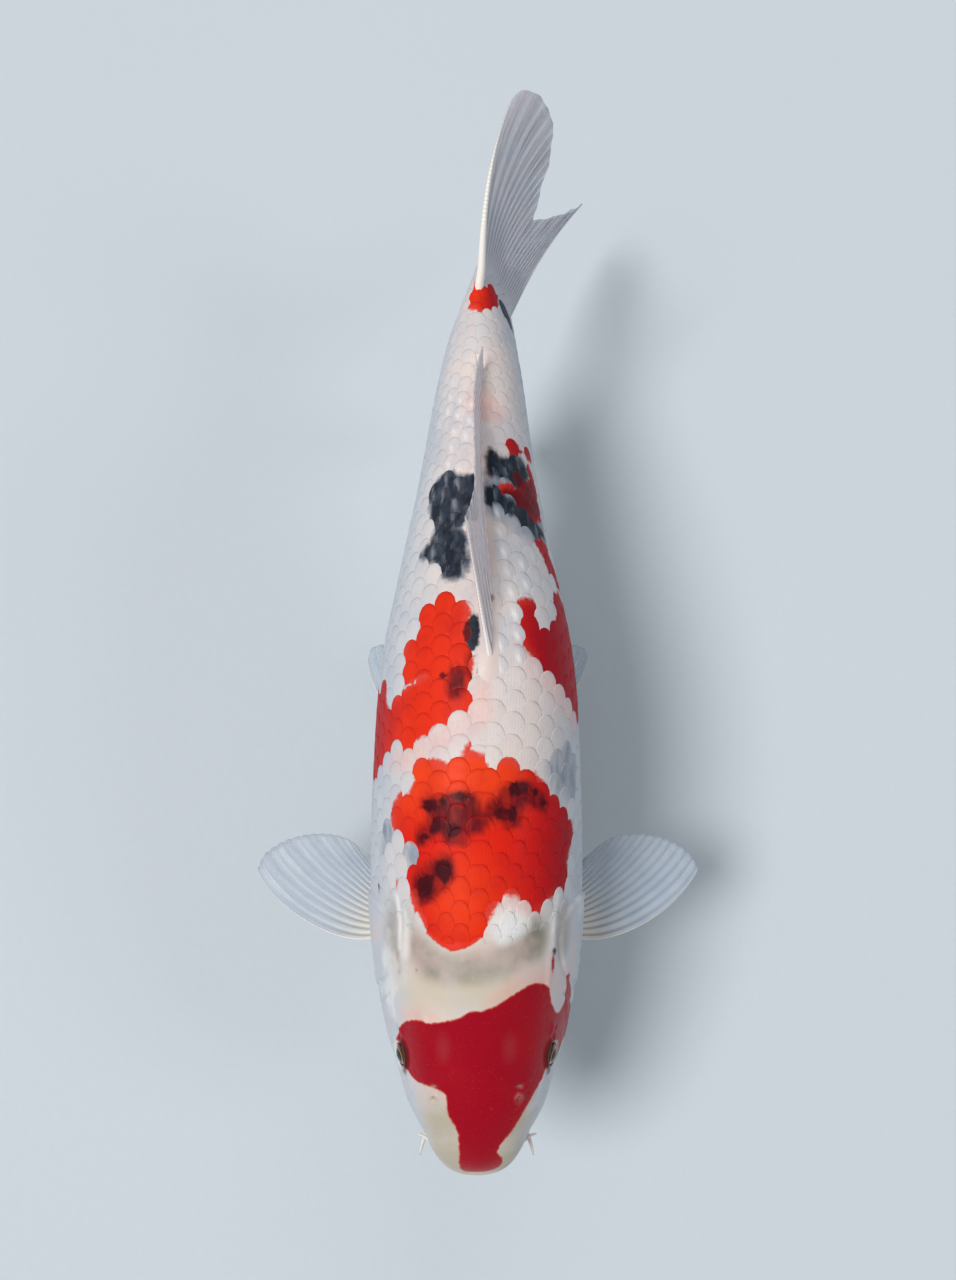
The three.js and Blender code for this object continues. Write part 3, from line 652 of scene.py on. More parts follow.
def mouth_relief(s, x, z):
    """The lips and the line between them, on the front of the snout."""
    aside = np.abs(x) / MOUTH["half_width"]
    above = (z + MOUTH["drop"] + 6 * aside**1.6) * (1 + 0.5 * climb(aside, 0.6, 1))
    relief = sum(height * hump(above - at, width) for at, height, width in MOUTH["folds"])
    return relief * (1 - climb(aside, 0.92, 1.12)) * (1 - climb(s, *MOUTH["end"]))


def head_relief(s, side):
    """Grooves, ridges and pits of the head, the same on both sides."""
    relief = sum(height * on_line(line, s, side, width) for height, width, line in HEAD_LINES)
    for height, at_s, at_side, reach, longer in HEAD_SWELLINGS:
        relief += height * hump(np.hypot((s - at_s) / longer, side - at_side), reach)
    for pore_s, pore_side in canal_pores():
        relief -= PORE_DEPTH * hump(np.hypot(s - pore_s, side - pore_side), PORE_WIDTH)
    return relief


def nostril_flap(s, side):
    """1 on the raised rim between a nostril's two openings, highest behind."""
    out = np.hypot(s - NOSTRIL[0], side - NOSTRIL[1])
    return hump(out - NOSTRIL_RIM, 0.9) * (0.35 + 0.65 * climb(s - NOSTRIL[0], -0.8, 1.6))


def nostril_relief(s, side):
    front = hump(np.hypot(s - NOSTRIL[0], side - NOSTRIL[1]), 1.3)
    at_s, at_side, along, across = REAR_NOSTRIL
    rear = hump(np.hypot((s - at_s) / along, (side - at_side) / across), 1.0)
    return 1.1 * nostril_flap(s, side) - 1.7 * front - 1.5 * rear


def eye_socket_relief(s, side):
    """A hollow that lets the eyeball out, with a soft brow round it."""
    out = np.hypot(s - EYE_SPOT[0], side - EYE_SPOT[1])
    brow = 0.5 * hump(out - 8.4, 1.3) - 0.4 * hump(out - 11.2, 1.2)
    return brow - 2.4 * climb(6.6 - out, -0.6, 1.0)


def gill_cover_relief(s, side):
    """The gill cover's proud plate, its soft rim and its fan of ribs."""
    deep = depth_inside(GILL_COVER, s, side)
    behind = s - head_edge(side)
    inner = 1 - climb(behind, -9, -5)
    spoke = np.arctan2(side - GILL_HINGE[1], s - GILL_HINGE[0])
    ribs = 0.11 * np.sin(spoke * GILL_RIBS) * climb(deep, 2, 8) * inner
    front = 0.5 * hump(deep, 1.1) * inner
    rim = 0.3 * hump(behind + 1.8, 1.3) - 0.35 * hump(behind + 5, 1.1)
    suture = 0.5 * on_line(GILL_SUTURE, s, side, 1.1)
    return 1.05 * climb(deep, -0.5, 3) - front - suture + ribs + rim * climb(deep, 0, 2)


FIN_BASES = [(131, 143, 12, 2.2), (241, 170, 8, 1.4)]  # s, girth, half width and height
DORSAL_BASE = (238, 250, 404, 414)  # s where it rises and falls
ANAL_BASE = (386, 394, 420, 428)
LONG_BASE_HEIGHT = 1.6
COAT_END = (495, 499)  # s over which the scales come to an end at the tail


def trunk_relief(s, side):
    """Low swellings at the roots of the fins."""
    relief = 0
    for at_s, at_side, width, height in FIN_BASES:
        relief = relief + height * hump(np.hypot(s - at_s, side - at_side), width)
    dorsal = plateau(s, *DORSAL_BASE) * hump(side, 4.5)
    anal = plateau(s, *ANAL_BASE) * hump(whole_girth(s) - side, 4)
    return relief + LONG_BASE_HEIGHT * (dorsal + anal)


def coat_share(s, side):
    """1 where the body wears scales, 0 on the bare head and the tail's end."""
    slope = 1.2 + 9 * (1 - climb(side, 42, 64)) + 5 * climb(side, 130, 150)
    return climb((s - head_edge(side)) / slope, -0.3, 1.0) * (1 - climb(s, *COAT_END))


def skin_relief(s, x, z, girth):
    """How far the skin stands out from the body's smooth form."""
    side = np.abs(girth)
    front = s < HEAD_LENGTH
    relief = trunk_relief(s, side) - COAT_DEPTH * coat_share(s, side)
    head_s, head_side = s[front], side[front]
    detail = head_relief(head_s, head_side) + nostril_relief(head_s, head_side)
    detail += eye_socket_relief(head_s, head_side)
    detail *= 1 - climb(head_s - head_edge(head_side), -2, 0)
    detail += gill_cover_relief(head_s, head_side)
    detail *= 1 - coat_share(head_s, head_side)
    relief[front] += detail + mouth_relief(head_s, x[front], z[front])
    return relief


# ---- meshes


def put_attribute(mesh, name, values):
    """Stores a number, or three, at each point of a mesh."""
    values = np.float32(values)
    kind, field = ("FLOAT_VECTOR", "vector") if values.ndim > 1 else ("FLOAT", "value")
    mesh.attributes.new(name, kind, "POINT").data.foreach_set(field, values.ravel())


def read_attribute(mesh, name):
    values = np.empty(len(mesh.vertices), np.float32)
    mesh.attributes[name].data.foreach_get("value", values)
    return values.astype(float)


def new_object(name, data):
    thing = bpy.data.objects.new(name, data)
    bpy.context.scene.collection.objects.link(thing)
    return thing


def new_piece(name, points, faces, attributes=None, edges=()):
    """A mesh object from points of the fish's frame."""
    mesh = bpy.data.meshes.new(name)
    mesh.from_pydata(in_row(points).tolist(), list(edges), faces)
    for label, values in (attributes or {}).items():
        put_attribute(mesh, label, values)
    if len(faces):
        mesh.shade_smooth()
    return new_object(name, mesh)


def turn_outwards(piece):
    """Makes the faces of a closed piece point out of it."""
    shape = bmesh.new()
    shape.from_mesh(piece.data)
    bmesh.ops.recalc_face_normals(shape, faces=shape.faces)
    shape.to_mesh(piece.data)
    shape.free()


def tube_faces(rings, sides, closed=False):
    """Faces of a tube of rings, open or closed to a loop."""
    faces = []
    for i in range(rings if closed else rings - 1):
        near = i * sides
        far = (i + 1) % rings * sides
        for j in range(sides):
            k = (j + 1) % sides
            faces.append((near + j, near + k, far + k, far + j))
    return faces


def ring_of(axis, across, radius, count):
    """Points round the origin, on circles spanned by two directions."""
    turn = np.arange(count) / count * 2 * np.pi
    along_axis = axis[..., None, :] * np.cos(turn)[:, None]
    along_across = across[..., None, :] * np.sin(turn)[:, None]
    return (along_axis + along_across) * np.asarray(radius)[..., None, None]


def tube(path, radii, sides, closed=False):
    """(points, faces) of a round bar along a path, its ends drawn together."""
    path = np.asarray(path, float)
    if closed:
        ahead = unit(np.roll(path, -1, axis=0) - np.roll(path, 1, axis=0))
    else:
        ahead = unit(np.gradient(path, axis=0))
    across = unit(np.cross(ahead, (0.1, 0.2, 1.0)))
    points = path[:, None] + ring_of(across, np.cross(ahead, across), radii, sides)
    faces = tube_faces(len(path), sides, closed)
    if not closed:
        last = (len(path) - 1) * sides
        faces.append(tuple(range(sides)))
        faces.append(tuple(reversed(range(last, last + sides))))
    return points.reshape(-1, 3), faces


def joined(parts):
    """One (points, faces) from several."""
    points, faces = [], []
    start = 0
    for part_points, part_faces in parts:
        points.append(part_points)
        faces.extend(tuple(corner + start for corner in face) for face in part_faces)
        start += len(part_points)
    return np.vstack(points), faces


def finish_piece(piece, material, replaced=()):
    """Gives a piece its material, its body and the nodes that it replaces."""
    piece.data.materials.clear()
    piece.data.materials.append(material)
    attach(piece, BODY)
    if replaced:
        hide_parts(*replaced)


# ---- the skin

SKIN_SIDES = 288
HEAD_STEP = 0.72  # millimetres from ring to ring
BODY_STEP = 4.4
TAIL_STEP = 2.0
TAIL_BASE = 468  # s behind which the rings are dense again
FOLD_SHADE_DEPTHS = (0.25, 1.6)  # how deep a fold is where its painted shade begins and where it is full
CROWDING = 0.3  # how much denser a ring's points are on back and belly

# Each barbel's radius at its root, and its course.
BARBELS = {
    "corner": (1.6, [(20, 22, -9.5), (17, 26, -12), (11, 28.5, -15.5), (4.5, 30, -18)]),
    "lip": (1.2, [(12.5, 20, -1.5), (15, 24.5, -1.7), (17, 28, -3), (17.5, 31, -5)]),
}
BARBEL_TIP = 0.4
BARBEL_RINGS, BARBEL_SIDES = 16, 10


def skin_grid():
    """(s, x, z, girth) of every point of the skin's grid, before its relief."""
    head_places, tail_places = np.interp([HEAD_LENGTH, TAIL_BASE], fine_s, fine_places)
    places = np.concatenate([
        np.arange(0.25, head_places, HEAD_STEP),
        np.arange(head_places, tail_places, BODY_STEP),
        np.arange(tail_places, station_places[-1] - 0.2, TAIL_STEP),
    ])
    even = (np.arange(SKIN_SIDES) / SKIN_SIDES * 2 - 1) * np.pi
    angles = even - CROWDING * np.sin(even)
    s, x, z = section_point(section(places)[:, None], angles[None])
    girth = np.sign(angles) * look_up(GIRTHS, s, np.abs(angles) / np.pi + 0 * s)
    return s, x, z, girth


def skin_body():
    """(points, faces, folds) of the closed skin; folds, a mask for painted shade, is 1 in deep
    folds.
    """
    s, x, z, girth = skin_grid()
    points = place(s, x, z)
    round_it = np.roll(points, -1, axis=1) - np.roll(points, 1, axis=1)
    normals = unit(np.cross(round_it, np.gradient(points, axis=0)))
    if normals[len(s) // 2, SKIN_SIDES // 2, 2] < 0:
        normals = -normals
    relief = skin_relief(s.ravel(), x.ravel(), z.ravel(), girth.ravel()).reshape(s.shape)
    # painted shade: the deeper the skin lies in a fold, the darker it is painted
    folds = climb(-relief - COAT_DEPTH * coat_share(s, np.abs(girth)), *FOLD_SHADE_DEPTHS)
    points = points + normals * relief[..., None]
    faces = tube_faces(len(s), SKIN_SIDES)
    snout = s.size
    tail = snout + 1
    last = snout - SKIN_SIDES
    for j in range(SKIN_SIDES):
        k = (j + 1) % SKIN_SIDES
        faces.append((snout, k, j))
        faces.append((tail, last + j, last + k))
    poles = [points[0].mean(axis=0) - (0, 0.1, 0), points[-1].mean(axis=0) + (0, 0.1, 0)]
    return np.vstack([points.reshape(-1, 3), poles]), faces, folds.ravel()


def barbel(kind, side):
    """(points, faces) of one barbel."""
    root, course = BARBELS[kind]
    shares = np.linspace(0, 1, BARBEL_RINGS)
    path = smooth_line([place(s, side * x, z) for s, x, z in course])(shares)
    return tube(path, root * (1 - shares) ** 0.8 + BARBEL_TIP * shares, BARBEL_SIDES)


def circle_round(centre, axis, radius, count):
    """Points of a circle square to an axis."""
    aside = unit(np.cross(axis, (0, 1, 0)))
    return centre + ring_of(aside, np.cross(axis, aside), radius, count)


LID = {"radius": 5.75, "thickness": 0.75, "overlap": 0.6, "rings": 48, "sides": 8}


def eyelid(side):
    """(points, faces) of the soft rim in which the eyeball sits."""
    out = np.sqrt(EYE["radius"] ** 2 - LID["radius"] ** 2)
    centre = eye_centre(side) + eye_axis(side) * out
    radius = LID["radius"] + LID["thickness"] * LID["overlap"]
    ring = circle_round(centre, eye_axis(side), radius, LID["rings"])
    return tube(ring, np.full(LID["rings"], LID["thickness"]), LID["sides"], closed=True)


FLESH_NODES = ["head", "upper_lip", "lower_jaw", "trunk_front", "trunk_rear", "tail_stalk"]
FLESH_NODES += [
    f"{part}_{side}" for part in ("gill_cover", "barbel_corner", "barbel_lip") for side in SIDES
]


def paint_eye_surround(s, side):
    """Painted shade in the socket, over the eye and in the brow's fold, and the pale lower lid."""
    from_eye = np.hypot(s - EYE_SPOT[0], side - EYE_SPOT[1])
    above = EYE_SPOT[1] - side
    inner_lid = climb(6.3 - from_eye, -0.4, 0.4)
    brow = 0.95 * climb(above, 1, 6) * climb(10.4 - from_eye, -1.6, 1.6)
    fold = 0.18 * on_line(BROW_FOLD, s, side, 1.2)
    lid = hump(from_eye - 6.9, 0.55) * (1 - climb(above, -3, 4))
    return {"socket": np.max([inner_lid, brow, fold], axis=0), "lid": lid}


def build_skin():
    """The skin with its eyelids and barbels, painted point by point."""
    body_points, body_faces, folds = skin_body()
    rims = [eyelid(side) for side in SIDES.values()]
    barbels = [barbel(kind, side) for kind in BARBELS for side in SIDES.values()]
    points, faces = joined([(body_points, body_faces), *rims, *barbels])
    s, girth = body_coordinates(points)
    side = np.abs(girth)
    paint = {
        **markings(s, girth), **paint_eye_surround(s, side), "flap": nostril_flap(s, side),
        "groove": np.zeros(len(points)),
    }
    paint["groove"][: len(folds)] = folds
    barbel_points = slice(-sum(len(part) for part, _ in barbels), None)
    plain = {"red": -FAR, "flank": 0, "belly": 1, "socket": 0, "lid": 0, "flap": 0}
    for name, value in plain.items():
        paint[name][barbel_points] = value
    piece = new_piece("koi_skin", points, faces, paint)
    turn_outwards(piece)
    return piece


# ---- materials


class Wire:
    """An output of a material's node, on which Python's operators add Math nodes."""

    def __init__(self, shader, socket):
        self.shader = shader
        self.socket = socket

    def maths(self, operation, *values):
        return self.shader.add("ShaderNodeMath", {"operation": operation}, dict(enumerate(values)))

    def __add__(self, other):
        return self.maths("ADD", self, other)

    def __sub__(self, other):
        return self.maths("SUBTRACT", self, other)

    def __rsub__(self, other):
        return self.maths("SUBTRACT", other, self)

    def __mul__(self, other):
        return self.maths("MULTIPLY", self, other)

    __radd__ = __add__
    __rmul__ = __mul__

    def sine(self):
        return self.maths("SINE", self)

    def larger(self, other):
        return self.maths("MAXIMUM", self, other)

    def climb(self, low, high):
        """A soft step from 0 at low to 1 at high."""
        ends = {"Value": self, "From Min": low, "From Max": high}
        return self.shader.add("ShaderNodeMapRange", {"interpolation_type": "SMOOTHSTEP"}, ends)


def feed(socket, value):
    """Sets a socket to a value, or links it to another node's output."""
    if isinstance(value, Wire):
        value = value.socket
    if isinstance(value, bpy.types.NodeSocket):
        socket.id_data.links.new(value, socket)
    else:
        socket.default_value = value


def add_node(tree, kind, settings=None, values=None):
    """Adds a node: its settings first, then the values or links of its sockets."""
    node = tree.nodes.new(kind)
    for name, value in (settings or {}).items():
        setattr(node, name, value)
    for name, value in (values or {}).items():
        feed(node.inputs[name], value)
    return node


class Shader:
    """One material, its nodes and the settings that hold its colours."""

    def __init__(self, name, settings):
        self.settings = settings
        self.material = bpy.data.materials.new(name)
        self.material.use_nodes = True
        self.tree = self.material.node_tree
        self.surface = self.tree.nodes["Principled BSDF"]
        self.place = self.add("ShaderNodeTexCoord", output="Object")

    def add(self, kind, settings=None, values=None, output=0):
        return Wire(self, add_node(self.tree, kind, settings, values).outputs[output])

    def attribute(self, name):
        return self.add("ShaderNodeAttribute", {"attribute_name": name}, output="Fac")

    def stretched(self, scale):
        """Object coordinates, stretched by a factor along each axis."""
        return self.add("ShaderNodeMapping", values={"Vector": self.place, "Scale": scale})

    def noise(self, scale, detail=2.0, where=None):
        values = {"Vector": where or self.place, "Scale": scale, "Detail": detail}
        return self.add("ShaderNodeTexNoise", values=values)

    def mix(self, share, start, end):
        """Colour start where share is 0 and end where it is 1."""
        ends = {0: share, 6: self.colour(start), 7: self.colour(end)}
        return self.add("ShaderNodeMix", {"data_type": "RGBA"}, ends, output=2)

    def paint_over(self, colour, *layers):
        """Lays one colour after the other over the first, each as (share, colour)."""
        for share, above in layers:
            colour = self.mix(share, colour, above)
        return colour

    def colour(self, value):
        """A wire as it is, or the colour that a setting holds."""
        return value if isinstance(value, Wire) else (*getattr(self.settings, value), 1.0)

    def bump(self, height, distance):
        return self.add("ShaderNodeBump", values={"Height": height, "Distance": distance})

    def set_surface(self, **values):
        """Sets the sockets of the surface, named with _ for each space."""
        for name, value in values.items():
            socket = name.replace("_", " ").title().replace("Ior", "IOR")
            feed(self.surface.inputs[socket], value)
        return self.material


class Flesh:
    """What the materials of the skin and of the scales have in common."""

    def __init__(self, name, settings):
        self.shader = shader = Shader(name, settings)
        self.mottle = shader.noise(55, 3)
        self.grain = shader.noise(420, 3)
        self.vein = shader.noise(190, 3, shader.stretched((1.0, 0.45, 1.0)))
        ragged = (self.grain - 0.5) * 2.0 + (self.vein - 0.5) * 4.0
        self.streaks = (shader.attribute("streaks") + ragged).climb(-1.0, 0.7)
        self.patches = (shader.attribute("sumi") + ragged).climb(-2.2, 1.2)
        self.edge = shader.attribute("red") + (self.grain - 0.5) * 1.6
        self.is_red = self.edge.climb(-0.5, 0.5)

    def white(self):
        """The white with everything that tints it, with its painted bluish shade down the flanks
        and its painted highlights.
        """
        read = self.shader.attribute
        mottle, vein = self.mottle, self.vein
        drift = self.shader.noise(20, 2)
        fringe = (0.45 + 0.55 * self.grain.climb(0.3, 0.6)) * self.shader.settings.fringe_strength
        return self.shader.paint_over(
            # painted shade: bluish white down the flanks
            self.shader.mix(read("flank"), "back_white", "flank_white"),
            (read("belly"), "belly_white"),
            (drift.climb(0.42, 0.68) * 0.5, "grey_cloud"),
            (mottle.climb(0.5, 0.75) * 0.35, "grey_cloud"),
            (vein.climb(0.52, 0.75) * 0.3, "blush"),
            (read("cream") * (0.5 + 0.4 * mottle.climb(0.3, 0.6)), "cream"),
            (read("nape") * (0.58 + 0.4 * mottle.climb(0.35, 0.6)), "nape"),
            (read("rust") * vein.climb(0.35, 0.6) * 0.7, "rust"),
            (read("haze") * (0.5 + 0.45 * vein.climb(0.35, 0.65)), "slate_haze"),
            (read("fringe") * fringe, "fringe"),
            # painted highlights on the gill covers and behind the head
            (read("gleam").larger(read("bright")) * 0.8, "pearl"),
        )

    def red(self):
        """The red with everything that shades it, away from its edge."""
        read = self.shader.attribute
        return self.shader.paint_over(
            self.shader.mix(read("orange"), "red", "orange"),
            (read("crimson"), "crimson"),
            (self.mottle.climb(0.4, 0.75) * 0.35, "deep_red"),
            (read("shade") * (0.68 + 0.3 * self.vein.climb(0.3, 0.6)), "shade"),
        )

    def black(self):
        share = self.grain.climb(0.3, 0.75) * 0.35
        return self.shader.mix(share, "sumi", "slate")

    def finish(self, base, height, roughness, specular, coat):
        """Ends in the tail's grey skin, partly painted shade, and the wet surface."""
        bare = (1 - self.is_red) * (1 - self.streaks)
        # grey-blue tail end, partly painted shade
        share = self.shader.attribute("tail_end") * bare * 0.8
        return self.shader.set_surface(
            base_color=self.shader.mix(share, base, "tail_end"),
            roughness=roughness,
            normal=self.shader.bump(height, 0.0003),
            specular_ior_level=specular,
            coat_weight=coat,
            coat_roughness=0.12,
            subsurface_weight=0.06,
            subsurface_radius=(0.004, 0.0015, 0.001),
            subsurface_scale=1.0,
        )


def skin_material(settings):
    """Bare skin: mostly the head, with its clouded cheeks and its crisp red."""
    flesh = Flesh("koi_skin_wet", settings)
    shader, grain = flesh.shader, flesh.grain
    read = shader.attribute
    cheek = shader.noise(36, 4)
    speck = shader.noise(1500, 2)
    milk = (1 - cheek.climb(0.34, 0.48)) * (1 - read("cream")) * 0.45
    blushed = (cheek.climb(0.5, 0.66) * 0.4, "blush")
    white = shader.paint_over(flesh.white(), blushed, (milk, "pearl"))
    rimmed = shader.mix(flesh.edge.climb(0.1, 1.0), "red_rim", flesh.red())
    base = shader.paint_over(
        white,
        (flesh.is_red, rimmed),
        (flesh.streaks.larger(flesh.patches), flesh.black()),
        # painted shade in the skin's folds
        (read("groove") * 0.6, "groove"),
        (read("flap") * 0.2, "blush"),
        # painted shade round the eye
        (read("socket"), "socket"),
        (read("lid") * 0.8, "pearl"),
        (speck.climb(0.66, 0.8) * 0.1, "pearl"),
    )
    height = 0.2 * grain + 0.2 * speck
    return flesh.finish(base, height, 0.26 + 0.16 * grain, specular=0.13, coat=0.06)


def scale_material(settings):
    """Scales: netted at their rims, with worn black and thin red at the edges of a patch."""
    flesh = Flesh("koi_scale", settings)
    shader, grain, vein, is_red = flesh.shader, flesh.grain, flesh.vein, flesh.is_red
    read = shader.attribute
    rim = read("rim")
    pore = read("pore")
    white = shader.paint_over(
        flesh.white(),
        (read("tone") * 0.16, "pearl"),
        (grain.climb(0.5, 0.75) * 0.3, "grey_cloud"),
        (rim.climb(0.5, 1.0) * (0.13 + 0.37 * read("flank")), "scale_edge"),
        # painted shade round the painted glints beside the dorsal fin, then the painted glints
        (read("dull") * (0.12 + 0.35 * vein.climb(0.4, 0.6)), "grey_cloud"),
        (read("glint") * 0.9, "glint"),
        (flesh.patches * 0.7, "slate_haze"),
    )
    red = shader.mix(rim.climb(0.6, 1.0) * 0.3, flesh.red(), "deep_red")
    thin = shader.mix(read("crimson"), "thin_red", "deep_red")
    streaky = shader.noise(230, 4, shader.stretched((1.0, 0.4, 1.0)))
    worn = (0.08 + 0.6 * read("fade")) * streaky.climb(0.4, 0.6)
    black = flesh.streaks.larger(flesh.patches * (1 - worn * (1 - is_red)))
    sumi = shader.paint_over(
        flesh.black(),
        (vein.climb(0.45, 0.65) * 0.5, "slate"),
        (is_red, "sumi_on_red"),
    )
    base = shader.paint_over(
        white,
        (is_red, shader.mix(flesh.edge.climb(0.0, 2.4), thin, red)),
        (black * (0.98 - 0.12 * is_red), sumi),
        (pore * 0.4, "shade"),
    )
    growth = (read("own_across") * 26 + vein * 7).sine()
    height = 0.05 * growth + 0.25 * grain - pore * 0.7
    roughness = 0.4 + 0.14 * grain + 0.08 * rim
    return flesh.finish(base, height, roughness, specular=0.08, coat=0.015)


# ---- geometry nodes


class NodeTree:
    """A Geometry Nodes tree with named inputs, for use as a modifier."""

    def __init__(self, name, inputs):
        self.tree = bpy.data.node_groups.new(name, "GeometryNodeTree")
        self.tree.is_modifier = True
        self.identifiers = {}
        face = self.tree.interface
        face.new_socket("Geometry", in_out="OUTPUT", socket_type="NodeSocketGeometry")
        face.new_socket("Geometry", in_out="INPUT", socket_type="NodeSocketGeometry")
        for label, kind in inputs.items():
            socket = face.new_socket(label, in_out="INPUT", socket_type=f"NodeSocket{kind}")
            self.identifiers[label] = socket.identifier
        self.given = self.tree.nodes.new("NodeGroupInput").outputs

    def add(self, kind, settings=None, values=None, output=0):
        return add_node(self.tree, kind, settings, values).outputs[output]

    def attribute(self, name, kind="FLOAT"):
        return self.add("GeometryNodeInputNamedAttribute", {"data_type": kind}, {"Name": name})

    def product(self, one, other):
        return self.add("ShaderNodeMath", {"operation": "MULTIPLY"}, {0: one, 1: other})

    def finish(self, geometry, material):
        """Ends the tree in Realize Instances and Set Material."""
        real = self.add("GeometryNodeRealizeInstances", values={"Geometry": geometry})
        painted = {"Geometry": real, "Material": material}
        done = self.add("GeometryNodeSetMaterial", values=painted)
        self.tree.links.new(done, self.tree.nodes.new("NodeGroupOutput").inputs[0])

    def run(self, piece, **values):
        """Runs the tree on a piece and keeps the result as its mesh."""
        modifier = piece.modifiers.new("nodes", "NODES")
        modifier.node_group = self.tree
        for label, value in values.items():
            modifier[self.identifiers[label.replace("_", " ").capitalize()]] = value
        graph = bpy.context.evaluated_depsgraph_get()
        result = bpy.data.meshes.new_from_object(piece.evaluated_get(graph))
        piece.modifiers.clear()
        piece.data = result
        if not len(result.polygons):
            raise RuntimeError(f"{piece.name} came out of its nodes with no faces")
        return piece


# ---- the scales

# The lateral line: s and how high it runs on the flank, as girth from the back.
LATERAL_LINE = [
    (120, 66), (132, 72), (170, 88), (200, 94), (245, 98), (300, 90), (350, 76), (400, 61),
    (450, 46), (500, 32),
]
lateral_line = track(LATERAL_LINE)
# How a row's scales change along the body, as (s, millimetres or rows).
SCALE_LENGTHS = [
    (90, 10.2), (130, 11.3), (300, 11.3), (360, 10.2), (420, 9), (480, 7.2), (500, 6.6),
]
ROWS_ABOVE = [(100, 9), (260, 9.4), (370, 8.2), (450, 6.4), (500, 5.4)]
ROWS_BELOW = [(100, 9), (260, 9), (420, 6), (500, 5)]
MOST_ROWS = 10
FIRST_SCALE = 76
LAST_SCALE = 492
SCALE_SIZE = (0.82, 0.67)  # half a scale's length and width, as shares of its row's spacing
SEAM_WIDTH = 0.1  # scales this near to the back or the belly, in rows, lie on it
HIDDEN_FRONT = 4.5  # how far a scale's middle may lie under the edge of the head
# A scale's shape, in shares of its half length and width; its heights, in shares of the relief.
PLATE_TILT = (0.18, 0.82)  # at its front, and what its hind edge adds
PLATE_ARCH = 0.16
PLATE_BEVEL = 0.12
PLATE_THICKNESS = 0.9
PLATE_ALONG = [-1.0, -0.15, 0.25, 0.6, 0.88, 1.0]
PLATE_ACROSS = [-1.0, -0.84, -0.56, -0.2, 0.2, 0.56, 0.84, 1.0]


def along_body(pairs, s):
    """Reads a value that changes evenly between (s, value) pairs."""
    return float(np.interp(s, *zip(*pairs)))


def scale_places():
    """s of each scale in the even rows and in the odd rows between them."""
    counted = [FIRST_SCALE]
    while counted[-1] < LAST_SCALE:
        counted.append(counted[-1] + along_body(SCALE_LENGTHS, counted[-1]))
    counted = np.array(counted)
    return counted, (counted[:-1] + counted[1:]) / 2


def scale_roots():
    """s, girth, half length, half width and whether it bears a pore, of every scale's middle."""
    even, odd = scale_places()
    roots = []
    for row in range(-MOST_ROWS, MOST_ROWS + 1):
        for s in odd if row % 2 else even:
            line = float(lateral_line(s))
            whole = float(whole_girth(s))
            upper_step = line / along_body(ROWS_ABOVE, s)
            lower_step = (whole - line) / along_body(ROWS_BELOW, s)
            step = upper_step if row < 0 else lower_step
            girth = line + row * step
            from_seam = min(girth, whole - girth) / step
            if from_seam < -0.02 or s < float(head_edge(girth)) - HIDDEN_FRONT:
                continue
            length, width = SCALE_SIZE
            half_length = length * along_body(SCALE_LENGTHS, s)
            for side in (1,) if from_seam < SEAM_WIDTH else (1, -1):
                roots.append((s, side * girth, half_length, width * step, row == 0))
    return np.array(roots, float)


def plate_rear(across):
    """How far back a scale reaches, as a share of its half length."""
    return np.maximum(1 - np.abs(across) ** 2.3, 0) ** 0.5


def plate_front(across):
    return -1.0 + 0.3 * across**2


def plate_template():
    """One flat scale: a thin closed plate with a round, raised hind edge."""
    across, share = np.meshgrid(PLATE_ACROSS, (np.array(PLATE_ALONG) + 1) / 2)
    along = plate_front(across) + (plate_rear(across) - plate_front(across)) * share
    rows, columns = across.shape
    top = np.stack([along, across], axis=-1).reshape(-1, 2)
    at = np.arange(top.shape[0]).reshape(rows, columns)
    rim = [*at[0, :-1], *at[:-1, -1], *at[-1, :0:-1], *at[:0:-1, 0]]
    faces = []
    for i in range(rows - 1):
        for j in range(columns - 1):
            faces.append((at[i, j], at[i + 1, j], at[i + 1, j + 1], at[i, j + 1]))
    under = {corner: len(top) + k for k, corner in enumerate(rim)}
    for corner, following in zip(rim, rim[1:] + rim[:1]):
        faces.append((corner, following, under[following], under[corner]))
    faces.append([under[corner] for corner in rim])
    spots = np.vstack([top, top[rim]])
    edge = np.maximum(np.abs(spots[:, 1]) ** 3, np.concatenate([share.ravel(), share.ravel()[rim]]))
    lift = PLATE_TILT[0] + PLATE_TILT[1] * (spots[:, 0] + 1) / 2 - PLATE_ARCH * spots[:, 1] ** 2
    lift[: len(top)] -= PLATE_BEVEL * (edge[: len(top)] > 0.99)
    lift[len(top):] -= PLATE_THICKNESS
    attributes = {"lift": lift, "rim": edge**3, "own_along": spots[:, 0], "own_across": spots[:, 1]}
    points = np.column_stack([spots, 0 * edge])
    return points, [tuple(int(corner) for corner in face) for face in faces], attributes


